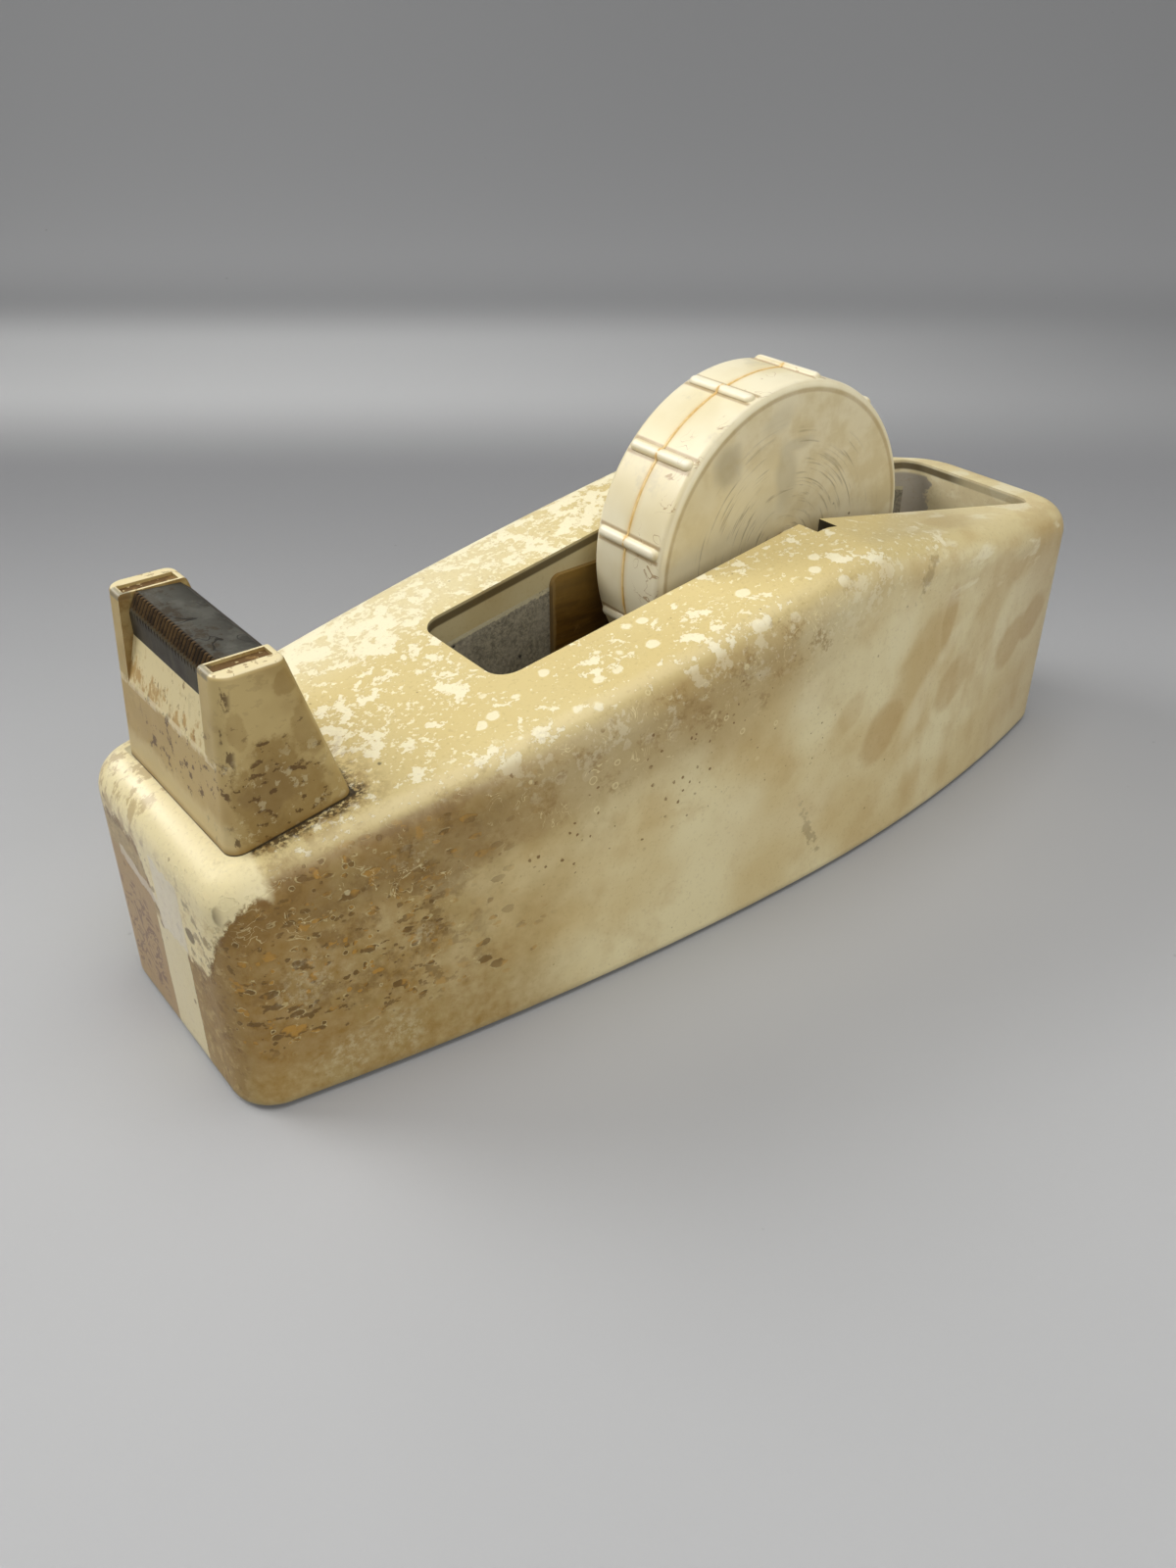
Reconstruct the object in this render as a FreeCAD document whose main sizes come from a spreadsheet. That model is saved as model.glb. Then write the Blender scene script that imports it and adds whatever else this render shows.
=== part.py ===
"""Desk tape dispenser: a weighted, painted body with an open tape well, a ribbed hub that lifts out of two
axle slots, and a cutter post with a serrated blade.

Frame: +Z up, -X towards the nose and its cutter, -Y towards the left side when seen from the tail.
The origin is the middle of the footprint, on the surface that the dispenser stands on. Millimetres.
"""
import FreeCAD
import Part
import Sketcher

import math
import os

V = FreeCAD.Vector
DOC = FreeCAD.newDocument("TapeDispenser")
SHEET = DOC.addObject("Spreadsheet::Sheet", "Sizes")

DRIVING = {
    # body: a boat-shaped plan, two straight roof slopes that meet over the axle
    "body_length": 243.2,
    "body_width": 81.2,
    "widest_x": 8.0,
    "nose_width": 57.8,
    "tail_width": 47.8,
    "nose_corner": 9.0,
    "tail_corner": 14.5,
    "ridge_x": 26.4,
    "ridge_height": 77.4,
    "front_slope": 0.172,
    "rear_slope": 0.181,
    "ridge_round": 14.0,
    "shoulder_round": 7.5,
    "skirt_height": 0.9,
    "wall": 3.0,
    # tape well
    "well_front_x": -53.4,
    "well_rear_x": 107.6,
    "well_front_width": 29.6,
    "well_rear_width": 39.8,
    "well_floor": 6.5,
    "well_knee": 40.0,
    "well_corner": 5.0,
    "lip_depth": 7.4,
    "lip_wall": 2.2,
    "tail_apron": 30.0,
    # hub and axle
    "axle_x": 27.0,
    "axle_height": 68.2,
    "axle_radius": 3.0,
    "axle_reach": 22.4,
    "axle_clearance": 0.05,
    "hub_radius": 37.3,
    "hub_half_width": 10.9,
    "hub_wall": 2.4,
    "hub_shoulder": 1.6,
    "hub_boss_radius": 7.0,
    "sleeve_radius": 4.2,
    "rib_count": 12,
    "rib_phase": 18.5,
    "rib_half_length": 9.65,
    "rib_width": 3.0,
    "rib_proud": 1.0,
    "spacer_radius": 4.8,
    # cutter post
    "post_front_x": -114.7,
    "post_rear_x": -90.7,
    "post_top_front_x": -112.3,
    "post_top_rear_x": -99.6,
    "post_top": 87.0,
    "post_half_width": 23.1,
    "post_corner": 3.2,
    "ear_width": 6.7,
    "crease_height": 70.0,
    "blade_foot": 79.0,
    "blade_gauge": 0.8,
    "tooth_pitch": 1.25,
    # underside
    "pad_thickness": 0.9,
    "plate_thickness": 1.5,
    "guide_thickness": 1.2,
}


class Size:
    """A length from the sheet, or worked out from it: its value now and the formula that keeps it bound."""

    def __init__(self, value, formula):
        self.value = float(value)
        self.formula = formula

    def __add__(self, other):
        other = size(other)
        return Size(self.value + other.value, f"({self.formula} + {other.formula})")

    def __sub__(self, other):
        other = size(other)
        return Size(self.value - other.value, f"({self.formula} - {other.formula})")

    def __mul__(self, other):
        other = size(other)
        return Size(self.value * other.value, f"({self.formula} * {other.formula})")

    def __truediv__(self, other):
        other = size(other)
        return Size(self.value / other.value, f"({self.formula} / {other.formula})")

    def __neg__(self):
        return Size(-self.value, f"(0 - {self.formula})")

    def __radd__(self, other):
        return size(other) + self

    def __rsub__(self, other):
        return size(other) - self

    def __rmul__(self, other):
        return size(other) * self


def size(number):
    """The number as a Size."""
    return number if isinstance(number, Size) else Size(number, f"{number:.6f}")


def fill_sheet():
    """Writes the driving dimensions to the sheet and returns them as Sizes by name."""
    sizes = {}
    for row, (alias, number) in enumerate(DRIVING.items(), start=1):
        SHEET.set(f"A{row}", alias)
        SHEET.set(f"B{row}", str(number))
        SHEET.setAlias(f"B{row}", alias)
        sizes[alias] = Size(number, f"Sizes.{alias}")
    DOC.recompute()
    return sizes


S = fill_sheet()
HALF_LENGTH = S["body_length"] / 2
HALF_WIDTH = S["body_width"] / 2
PLATE_TOP = S["pad_thickness"] + S["plate_thickness"]
CLEAR_ABOVE = 130.0
FAR = 140.0
SCREW_GAP = 0.1


# ---------------------------------------------------------------- tools that make bound objects

def bind(obj, prop, length):
    """Sets a property and keeps it bound to the sheet."""
    obj.setExpression(prop, size(length).formula)


def place(obj, x=0, y=0, z=0):
    """Puts an object at a bound position."""
    for axis, length in (("x", x), ("y", y), ("z", z)):
        bind(obj, f"Placement.Base.{axis}", length)
    return obj


def box(name, low, high):
    """A box between two bound corners."""
    obj = DOC.addObject("Part::Box", name)
    for prop, near, far in zip(("Length", "Width", "Height"), low, high):
        bind(obj, prop, size(far) - near)
    return place(obj, *low)


def cylinder(name, radius, length, base, direction=V(0, 0, 1)):
    """A cylinder from a bound base point along a fixed direction."""
    obj = DOC.addObject("Part::Cylinder", name)
    obj.Placement.Rotation = FreeCAD.Rotation(V(0, 0, 1), direction)
    bind(obj, "Radius", radius)
    bind(obj, "Height", length)
    return place(obj, *base)


def fuse(name, *shapes):
    """One object from several."""
    obj = DOC.addObject("Part::MultiFuse", name)
    obj.Shapes = list(shapes)
    obj.Refine = True
    return obj


def cut(name, base, *tools):
    """The base with every tool taken away."""
    obj = DOC.addObject("Part::Cut", name)
    obj.Base = base
    obj.Tool = tools[0] if len(tools) == 1 else fuse(name + "Tools", *tools)
    obj.Refine = True
    return obj


def common(name, *shapes):
    """What the shapes share."""
    obj = DOC.addObject("Part::MultiCommon", name)
    obj.Shapes = list(shapes)
    return obj


def group(name, *solids):
    """Separate solids kept apart in one object."""
    obj = DOC.addObject("Part::Compound", name)
    obj.Links = list(solids)
    return obj


def new_body(name):
    return DOC.addObject("PartDesign::Body", name)


def plane_of(body, role):
    """One of the body's own origin planes or axes."""
    return next(f for f in body.Origin.OriginFeatures if f.Role == role)


def sketch(body, name, role, points, radii=None, offset=0):
    """A closed outline through bound points. radii gives an arc's bound radius by the index of the side
    that starts at that point; an arc bulges to the right of its side's direction."""
    sk = body.newObject("Sketcher::SketchObject", name)
    sk.AttachmentSupport = [(plane_of(body, role), "")]
    sk.MapMode = "FlatFace"
    if offset:
        bind(sk, "AttachmentOffset.Base.z", offset)
    radii = radii or {}
    count = len(points)
    corners = [V(size(x).value, size(y).value, 0) for x, y in points]
    ends = []
    for i in range(count):
        start, stop = corners[i], corners[(i + 1) % count]
        if i in radii:
            geometry, flipped = bulged_arc(start, stop, size(radii[i]).value)
            index = sk.addGeometry(geometry, False)
            ends.append((index, 2, 1) if flipped else (index, 1, 2))
        else:
            index = sk.addGeometry(Part.LineSegment(start, stop), False)
            ends.append((index, 1, 2))
    for i in range(count):
        here, after = ends[i], ends[(i + 1) % count]
        sk.addConstraint(Sketcher.Constraint("Coincident", here[0], here[2], after[0], after[1]))
    for i, (x, y) in enumerate(points):
        for kind, length in (("DistanceX", x), ("DistanceY", y)):
            value = size(length).value
            index = sk.addConstraint(Sketcher.Constraint(kind, -1, 1, ends[i][0], ends[i][1], value))
            bind(sk, f"Constraints[{index}]", length)
    for i, radius in radii.items():
        index = sk.addConstraint(Sketcher.Constraint("Radius", ends[i][0], size(radius).value))
        bind(sk, f"Constraints[{index}]", radius)
    return sk


def bulged_arc(start, stop, radius):
    """The shorter arc from start to stop that bulges to the right of their chord, and whether the arc's own
    direction runs from stop to start."""
    chord = stop - start
    right = V(chord.y, -chord.x, 0).normalize()
    half = chord.Length / 2
    sagitta = radius - math.sqrt(radius * radius - half * half)
    middle = (start + stop) * 0.5 + right * sagitta
    arc = Part.Arc(start, middle, stop)
    circle = arc.toShape().Curve
    first = circle.value(arc.FirstParameter)
    as_arc = Part.ArcOfCircle(circle, arc.FirstParameter, arc.LastParameter)
    return as_arc, (first - start).Length > (first - stop).Length


def pad(body, sk, length, **options):
    return extrusion(body, "PartDesign::Pad", sk, length, options)


def pocket(body, sk, length, **options):
    return extrusion(body, "PartDesign::Pocket", sk, length, options)


def extrusion(body, kind, sk, length, options):
    """A Pad or Pocket of bound length; options are its other properties."""
    feature = body.newObject(kind, sk.Name + "Solid")
    feature.Profile = sk
    bind(feature, "Length", length)
    for prop, setting in options.items():
        setattr(feature, prop, setting)
    sk.Visibility = False
    return feature


def round_edges(body, name, radius, wanted):
    """Rounds the edges of the body's last feature that wanted(edge) picks."""
    DOC.recompute()
    base = body.Tip
    names = [f"Edge{i}" for i, e in enumerate(base.Shape.Edges, start=1) if wanted(e)]
    if not names:
        raise ValueError(f"{name} found no edges")
    feature = body.newObject("PartDesign::Fillet", name)
    feature.Base = (base, names)
    bind(feature, "Radius", radius)
    return feature


def centre(edge):
    return edge.valueAt((edge.FirstParameter + edge.LastParameter) / 2)


def is_upright(edge):
    return abs(edge.tangentAt(edge.FirstParameter).z) > 0.9


def pattern(body, feature, name, axis, angle, count):
    """Repeats a feature round one of the body's own axes."""
    polar = body.newObject("PartDesign::PolarPattern", name)
    polar.Originals = [feature]
    polar.Axis = (plane_of(body, axis), [""])
    polar.Angle = angle
    polar.Occurrences = count
    body.Tip = polar
    return polar


# ---------------------------------------------------------------- body

def roof(x, drop=0):
    """Height of the roof at a bound x, less drop. The slope is the front one ahead of the ridge."""
    x = size(x)
    if x.value < S["ridge_x"].value:
        return S["ridge_height"] - S["front_slope"] * (S["ridge_x"] - x) - drop
    return S["ridge_height"] - S["rear_slope"] * (x - S["ridge_x"]) - drop


def side_radius(end_x, half_width, end_half_width):
    """Radius of the side arc that runs from the widest point, where it is straight, to an end."""
    run = end_x - S["widest_x"]
    fall = half_width - end_half_width
    return (run * run + fall * fall) / (fall * 2)


def footprint(name, inset, low, high):
    """An upright block or plate with the body's boat-shaped plan, inset all round."""
    body = new_body(name)
    nose_x, tail_x = inset - HALF_LENGTH, HALF_LENGTH - inset
    side, nose, tail = HALF_WIDTH - inset, S["nose_width"] / 2 - inset, S["tail_width"] / 2 - inset
    front, rear = side_radius(nose_x, side, nose), side_radius(tail_x, side, tail)
    points = [(nose_x, -nose), (S["widest_x"], -side), (tail_x, -tail),
              (tail_x, tail), (S["widest_x"], side), (nose_x, nose)]
    plan = sketch(body, name + "Plan", "XY_Plane", points, {0: front, 1: rear, 3: rear, 4: front}, low)
    pad(body, plan, high - low)
    round_edges(body, name + "NoseCorners", S["nose_corner"] - inset,
                lambda e: is_upright(e) and centre(e).x < -100)
    round_edges(body, name + "TailCorners", S["tail_corner"] - inset,
                lambda e: is_upright(e) and centre(e).x > 100)
    return body


def body_form(name, inset, foot, drop, shoulder):
    """The boat-shaped block under the two roof slopes. inset shrinks its plan, drop lowers its roof."""
    body = footprint(name, inset, foot, S["ridge_height"] + 10)
    far = FAR
    above = [(-far, roof(-far, drop)), (S["ridge_x"], roof(S["ridge_x"], drop)), (far, roof(far, drop)),
             (far, CLEAR_ABOVE), (-far, CLEAR_ABOVE)]
    sky = sketch(body, name + "Sky", "XZ_Plane", above)
    pocket(body, sky, 2 * far, Midplane=True)
    ridge = S["ridge_height"].value - size(drop).value

    def is_ridge(e):
        at = centre(e)
        return abs(at.y) < 1 and abs(at.x - S["ridge_x"].value) < 0.5 and at.z > ridge - 1

    round_edges(body, name + "Ridge", S["ridge_round"], is_ridge)

    def on_roof(e):
        middle = centre(e)
        under = roof(middle.x, drop).value - middle.z
        across = abs(e.tangentAt(e.FirstParameter).y) > 0.99 and abs(middle.y) < 1
        inside = abs(middle.x) < HALF_LENGTH.value - 12
        return under < 0.6 and middle.z > 40 and not (across and inside)

    round_edges(body, name + "Shoulder", shoulder, on_roof)
    return body


def well_plan(name, grow):
    """The well's plan, wider towards the tail, as a prism. grow makes it larger all round."""
    body = new_body(name)
    front, rear = S["well_front_x"] - grow, S["well_rear_x"] + grow
    narrow, wide = S["well_front_width"] / 2 + grow, S["well_rear_width"] / 2 + grow
    plan = sketch(body, name + "Plan", "XY_Plane",
                  [(front, -narrow), (rear, -wide), (rear, wide), (front, narrow)])
    pad(body, plan, CLEAR_ABOVE)
    round_edges(body, name + "Corners", S["well_corner"] + grow, is_upright)
    return body


WELL_OVERRUN = 1.0


def well_form():
    """The tape well: its plan, down to a dished floor that clears a full roll."""
    body = new_body("WellSide")
    front, rear = S["well_front_x"] - WELL_OVERRUN, S["well_rear_x"] + WELL_OVERRUN
    half = (rear - front) / 2
    rise = S["well_knee"] - S["well_floor"]
    dish = (half * half + rise * rise) / (rise * 2)
    outline = [(front, S["well_knee"]), (rear, S["well_knee"]), (rear, CLEAR_ABOVE), (front, CLEAR_ABOVE)]
    side = sketch(body, "WellSideOutline", "XZ_Plane", outline, {0: dish})
    pad(body, side, S["body_width"], Midplane=True)
    return common("WellForm", well_plan("WellPlan", 0), body)


def lip_form():
    """The turned-down lip round the well's mouth, deeper at the tail."""
    body = new_body("LipBand")
    far, tail_start = FAR, S["well_rear_x"] - 3
    depth = S["lip_depth"]
    band = [(-far, roof(-far, depth)), (S["ridge_x"], roof(S["ridge_x"], depth)),
            (tail_start, roof(tail_start, depth)), (tail_start, roof(tail_start, S["tail_apron"])),
            (far, roof(far, S["tail_apron"])), (far, CLEAR_ABOVE), (-far, CLEAR_ABOVE)]
    pad(body, sketch(body, "LipBandOutline", "XZ_Plane", band), 2 * far, Midplane=True)
    return common("LipForm", well_plan("LipPlan", S["lip_wall"]), body)


def axle_slot():
    """The open-topped slot across both rails that the axle drops into, with a round bottom."""
    radius = S["axle_radius"] + S["axle_clearance"]
    reach = S["axle_reach"] + 0.4
    seat = cylinder("SlotSeat", radius, reach * 2, (S["axle_x"], -reach, S["axle_height"]), V(0, 1, 0))
    mouth = box("SlotMouth", (S["axle_x"] - radius, -reach, S["axle_height"]),
                (S["axle_x"] + radius, reach, CLEAR_ABOVE))
    return fuse("AxleSlot", seat, mouth)


def screw(name, head_radius, head_height, shank_radius, length, place_at, up):
    """A screw whose shank points along up from place_at and whose round head stands the other way."""
    head = cylinder(name + "Head", head_radius, head_height, place_at, -up)
    shank = cylinder(name + "Shank", shank_radius, length, place_at, up)
    return fuse(name, head, shank)


BASE_SCREW_POINTS = ((-108.0, 23.0), (-108.0, -23.0), (110.0, 19.5), (110.0, -19.5))
BASE_SCREW_RADIUS = 2.0
BASE_HEAD_RADIUS = 3.8
BASE_HEAD_HEIGHT = 0.6
BASE_SCREW_LENGTH = 14.0
PILLAR_RADIUS = 5.5
PILLAR_TOP = 30.0
HEAD_HOLE_MARGIN = 1.0
PLATE_GAP = 0.2
PAD_INSET = size(1.2)
SKIRT_EDGE = 0.7


def base_screws(name, gap):
    """The four screws that hold the base plate; gap makes them larger for the holes that take them."""
    made = []
    for i, (x, y) in enumerate(BASE_SCREW_POINTS, start=1):
        head_top = (x, y, S["pad_thickness"])
        made.append(screw(f"{name}{i}", BASE_HEAD_RADIUS + gap, BASE_HEAD_HEIGHT + gap,
                          BASE_SCREW_RADIUS + gap, BASE_SCREW_LENGTH + gap, head_top, V(0, 0, 1)))
    return made


POST_SCREW_RADIUS = 2.0
POST_HEAD_RADIUS = 3.6
POST_HEAD_HEIGHT = 2.4
POST_SCREW_LENGTH = 15.0
POST_WASHER_RADIUS = 5.0
POST_WASHER_THICKNESS = 1.0
ROOF_TILT = math.atan(DRIVING["front_slope"])
ROOF_NORMAL = V(-math.sin(ROOF_TILT), 0, math.cos(ROOF_TILT))
POST_SCREW_X = -103.5
POST_SCREW_Y = 13.0


def under_roof(y, drop):
    """The point drop millimetres under the roof, square to it, on a post screw's line."""
    x = size(POST_SCREW_X) - drop * ROOF_NORMAL.x
    return x, y, roof(POST_SCREW_X) - drop * ROOF_NORMAL.z


def post_screws(name, gap):
    """The two screws that come up through the roof into the post."""
    drop = S["wall"].value + POST_WASHER_THICKNESS
    return [screw(f"{name}{i}", POST_HEAD_RADIUS + gap, POST_HEAD_HEIGHT + gap, POST_SCREW_RADIUS + gap,
                  POST_SCREW_LENGTH + gap, under_roof(y, drop), ROOF_NORMAL)
            for i, y in enumerate((-POST_SCREW_Y, POST_SCREW_Y), start=1)]


def post_washers(name, gap):
    """A plain washer under each post screw's head."""
    made = []
    for i, y in enumerate((-POST_SCREW_Y, POST_SCREW_Y), start=1):
        foot = under_roof(y, S["wall"].value + POST_WASHER_THICKNESS + gap)
        disc = cylinder(f"{name}Disc{i}", POST_WASHER_RADIUS + gap, POST_WASHER_THICKNESS + gap,
                        foot, ROOF_NORMAL)
        if gap:
            made.append(disc)
            continue
        hole = cylinder(f"{name}Hole{i}", POST_SCREW_RADIUS + SCREW_GAP, 4 * POST_WASHER_THICKNESS,
                        foot, ROOF_NORMAL)
        made.append(cut(f"{name}{i}", disc, hole))
    return made


def build_body(parts):
    """Shell, ballast, base plate, pad and their screws."""
    outer = body_form("OuterForm", size(0), S["skirt_height"], size(0), S["shoulder_round"])
    foot = S["skirt_height"].value
    round_edges(outer, "SkirtEdge", SKIRT_EDGE, lambda e: abs(centre(e).z - foot) < 0.01)
    core = body_form("CoreForm", S["wall"], PLATE_TOP, S["wall"], S["shoulder_round"] - S["wall"])
    plate_room = footprint("PlateRoom", S["wall"], size(0), PLATE_TOP)
    well, slot, lip = well_form(), axle_slot(), lip_form()
    shell_lip = common("ShellLip", outer, lip)
    pillars = [cylinder(f"Pillar{i}", PILLAR_RADIUS, PILLAR_TOP - PLATE_TOP, (x, y, PLATE_TOP))
               for i, (x, y) in enumerate(BASE_SCREW_POINTS, start=1)]
    hollow = cut("HollowShell", outer, core, plate_room)
    screw_room = base_screws("BaseScrewRoom", SCREW_GAP) + post_screws("PostScrewRoom", SCREW_GAP)
    washer_room = post_washers("WasherRoom", SCREW_GAP)
    parts["body_shell"] = cut("BodyShell", fuse("ShellWithLip", hollow, shell_lip, *pillars),
                              well, slot, *screw_room)
    parts["ballast_fill"] = cut("BallastFill", core, lip, well, slot, *pillars, *screw_room, *washer_room)
    holes = base_screws("BaseScrewHole", SCREW_GAP)
    plate = footprint("PlateBlank", S["wall"] + PLATE_GAP, S["pad_thickness"], PLATE_TOP)
    parts["base_plate"] = cut("BasePlate", plate, *holes)
    pad_blank = footprint("PadBlank", PAD_INSET, size(0), S["pad_thickness"])
    parts["base_pad"] = cut("BasePad", pad_blank, *head_holes())
    parts["base_screws"] = group("BaseScrews", *base_screws("BaseScrew", 0))


def head_holes():
    """The round holes in the pad that show the base screws' heads."""
    return [cylinder(f"HeadHole{i}", BASE_HEAD_RADIUS + HEAD_HOLE_MARGIN, 4.0, (x, y, -1))
            for i, (x, y) in enumerate(BASE_SCREW_POINTS, start=1)]


def build_guides(parts):
    """The brown fibre panels on the well's side walls, where the roll's edges run."""
    length, low, top, corner = 84.0, 22.0, 64.9, 2.5
    start_x, wall_gap = -18.8, 0.02
    taper = (S["well_rear_width"] - S["well_front_width"]) / (2 * (S["well_rear_x"] - S["well_front_x"]))
    yaw = math.degrees(math.atan(taper.value))
    wall_y = S["well_front_width"] / 2 + taper * (start_x - S["well_front_x"])
    for label, side in (("side_guide_left", -1), ("side_guide_right", 1)):
        body = new_body("Guide" + label.title().replace("_", ""))
        face = sketch(body, body.Name + "Face", "XZ_Plane",
                      [(0, low), (length, low), (length, top), (0, top)])
        pad(body, face, S["guide_thickness"], Midplane=True)
        round_edges(body, body.Name + "Corners", corner,
                    lambda e: abs(e.tangentAt(e.FirstParameter).y) > 0.9 and centre(e).z > 40)
        body.Placement.Rotation = FreeCAD.Rotation(V(0, 0, 1), side * yaw)
        place(body, start_x, side * (wall_y - S["guide_thickness"] / 2 - wall_gap), 0)
        parts[label] = body


# ---------------------------------------------------------------- hub and axle

def revolve(body, name, points, radii=None, height=0):
    """Turns an outline of (radius, distance along Y) points round the line along Y at this height."""
    outline = sketch(body, name, "XY_Plane", points, radii, height)
    feature = body.newObject("PartDesign::Revolution", name + "Solid")
    feature.Profile = outline
    feature.ReferenceAxis = (outline, ["V_Axis"])
    feature.Angle = 360
    outline.Visibility = False
    return feature


def hub_half(label, side):
    """One moulded half of the hub: rim, dished face, boss and its halves of the ribs. side is -1 or 1."""
    body = new_body("Hub" + label.title().replace("_", ""))
    rim, width, wall = S["hub_radius"], S["hub_half_width"], S["hub_wall"]
    bore, boss = S["sleeve_radius"], S["hub_boss_radius"]
    dish, rim_face = 0.5, 3.6
    section = [(bore, 0), (boss, 0), (boss, side * (width - wall)), (rim - wall, side * (width - wall)),
               (rim - wall, 0), (rim, 0), (rim, side * width), (rim - rim_face, side * width),
               (boss, side * (width - dish)), (bore, side * (width - dish))]
    revolve(body, body.Name + "Section", section)

    def is_shoulder(e):
        return abs(abs(centre(e).y) - width.value) < 0.01 and e.BoundBox.XLength > 2 * rim.value - 0.1

    round_edges(body, body.Name + "Shoulder", S["hub_shoulder"], is_shoulder)
    half, reach = S["rib_width"] / 2, S["rib_half_length"]
    run = reach - half
    if side > 0:
        outline, arcs = [(0, 0), (half, 0), (half, run), (0, reach)], {2: half}
    else:
        outline, arcs = [(0, 0), (0, -reach), (half, -run), (half, 0)], {1: half}
    rib = revolve(body, body.Name + "Rib", outline, arcs, rim + S["rib_proud"] - half)
    pattern(body, rib, body.Name + "Ribs", "Y_Axis", 360, int(S["rib_count"].value))
    first_rib = S["rib_phase"] + size(720) / S["rib_count"]
    body.Placement.Rotation = FreeCAD.Rotation(V(0, 1, 0), 90 - first_rib.value)
    return place(body, S["axle_x"], 0, S["axle_height"])


SPACER_GAP = 0.3
SPACER_LENGTH = 4.8


def build_hub(parts):
    """The two hub halves, the sleeve between them, the axle and its two spacers."""
    parts["hub_half_left"] = hub_half("half_left", -1)
    parts["hub_half_right"] = hub_half("half_right", 1)
    shaft, width = S["axle_radius"], S["hub_half_width"]
    sleeve = new_body("HubSleeve")
    bore = shaft + S["axle_clearance"]
    revolve(sleeve, "SleeveSection", [(bore, -width), (S["sleeve_radius"], -width),
                                      (S["sleeve_radius"], width), (bore, width)])
    parts["hub_sleeve"] = sleeve
    axle = new_body("Axle")
    reach, bevel = S["axle_reach"], 0.6
    revolve(axle, "AxleSection", [(0, -reach), (shaft - bevel, -reach), (shaft, bevel - reach),
                                  (shaft, reach - bevel), (shaft - bevel, reach), (0, reach)])
    parts["axle"] = axle
    for label, side in (("axle_spacer_left", -1), ("axle_spacer_right", 1)):
        spacer = new_body(label.title().replace("_", ""))
        near, far = side * (width + SPACER_GAP), side * (width + SPACER_GAP + SPACER_LENGTH)
        revolve(spacer, spacer.Name + "Section",
                [(shaft, near), (S["spacer_radius"], near), (S["spacer_radius"], far), (shaft, far)])
        parts[label] = spacer
    for label in ("hub_sleeve", "axle", "axle_spacer_left", "axle_spacer_right"):
        place(parts[label], S["axle_x"], 0, S["axle_height"])


# ---------------------------------------------------------------- cutter post

BLADE_DROP = 0.6
BLADE_FRONT_X = -110.9
BEVEL_FOOT = 84.3
BEVEL_TOP_X = -109.5
BLADE_REAR_X = -100.7
REAR_FLANGE_FOOT = 74.0
REAR_BEND_DROP = 2.4
CAVITY_TOP = 71.0
POST_WALL = 2.6
POST_BOSS_RADIUS = 4.4
POST_REAR_CORNER = 2.2
POST_TOP_EDGE = 0.8


def post_face(edge, height):
    """x of the post's front or rear face at a height."""
    low_x = S[f"post_{edge}_x"]
    high_x = S[f"post_top_{edge}_x"]
    low_z = roof(low_x)
    return low_x + (high_x - low_x) * ((height - low_z) / (S["post_top"] - low_z))


def blade_line(inset):
    """The blade's outer line from its front foot over the bevel and down the back, moved in by inset."""
    top = S["post_top"] - 0.1
    rear_top = top - BLADE_DROP
    rear_bend = S["post_top"] - REAR_BEND_DROP
    return [(size(BLADE_FRONT_X) + inset, S["blade_foot"]),
            (size(BLADE_FRONT_X) + inset, size(BEVEL_FOOT) - inset * 0.3),
            (size(BEVEL_TOP_X) + inset * 0.6, top - inset),
            (size(BLADE_REAR_X) - inset * 0.8, rear_top - inset),
            (post_face("rear", rear_bend) - inset, rear_bend - inset * 0.5),
            (post_face("rear", size(REAR_FLANGE_FOOT)) - inset, size(REAR_FLANGE_FOOT))]


def post_body():
    """The post's outer block: a tapered wedge with ears, cut down between them for the blade."""
    body = new_body("PostBlock")
    front, rear = S["post_front_x"], S["post_rear_x"]
    side = [(front, roof(front)), (rear, roof(rear)),
            (S["post_top_rear_x"], S["post_top"]), (S["post_top_front_x"], S["post_top"])]
    wedge = sketch(body, "PostSide", "XZ_Plane", side)
    pad(body, wedge, S["post_half_width"] * 2, Midplane=True)

    def corner(e):
        way = e.tangentAt(e.FirstParameter)
        return abs(way.z) > 0.8 and abs(abs(centre(e).y) - S["post_half_width"].value) < 0.1

    round_edges(body, "PostFrontCorners", S["post_corner"], lambda e: corner(e) and centre(e).x < -108)
    round_edges(body, "PostRearCorners", POST_REAR_CORNER, lambda e: corner(e) and centre(e).x > -100)
    round_edges(body, "PostTop", POST_TOP_EDGE, lambda e: abs(centre(e).z - S["post_top"].value) < 0.02)
    gauge = S["blade_gauge"]
    seat = blade_line(gauge)
    gap = [(-130, S["crease_height"]), (post_face("front", S["crease_height"]), S["crease_height"]),
           (size(BLADE_FRONT_X), S["blade_foot"]), *seat,
           (-80, REAR_FLANGE_FOOT), (-80, 100), (-130, 100)]
    middle = sketch(body, "PostGap", "XZ_Plane", gap)
    pocket(body, middle, (S["post_half_width"] - S["ear_width"]) * 2, Midplane=True)
    return body


def post_cavity():
    """The hollow under the post, with two bosses left standing for its screws."""
    body = new_body("PostHollow")
    wall = POST_WALL
    front, rear = S["post_front_x"] + wall, S["post_rear_x"] - wall
    top = size(CAVITY_TOP)
    outline = [(front, roof(front, 1)), (rear, roof(rear, 1)),
               (post_face("rear", top) - wall, top), (post_face("front", top) + wall, top)]
    sk = sketch(body, "PostHollowSide", "XZ_Plane", outline)
    pad(body, sk, (S["post_half_width"] - wall) * 2, Midplane=True)
    bosses = [cylinder(f"PostBoss{i}", POST_BOSS_RADIUS, 40.0, under_roof(y, 4.0), ROOF_NORMAL)
              for i, y in enumerate((-POST_SCREW_Y, POST_SCREW_Y), start=1)]
    return cut("PostCavity", body, *bosses)


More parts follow.
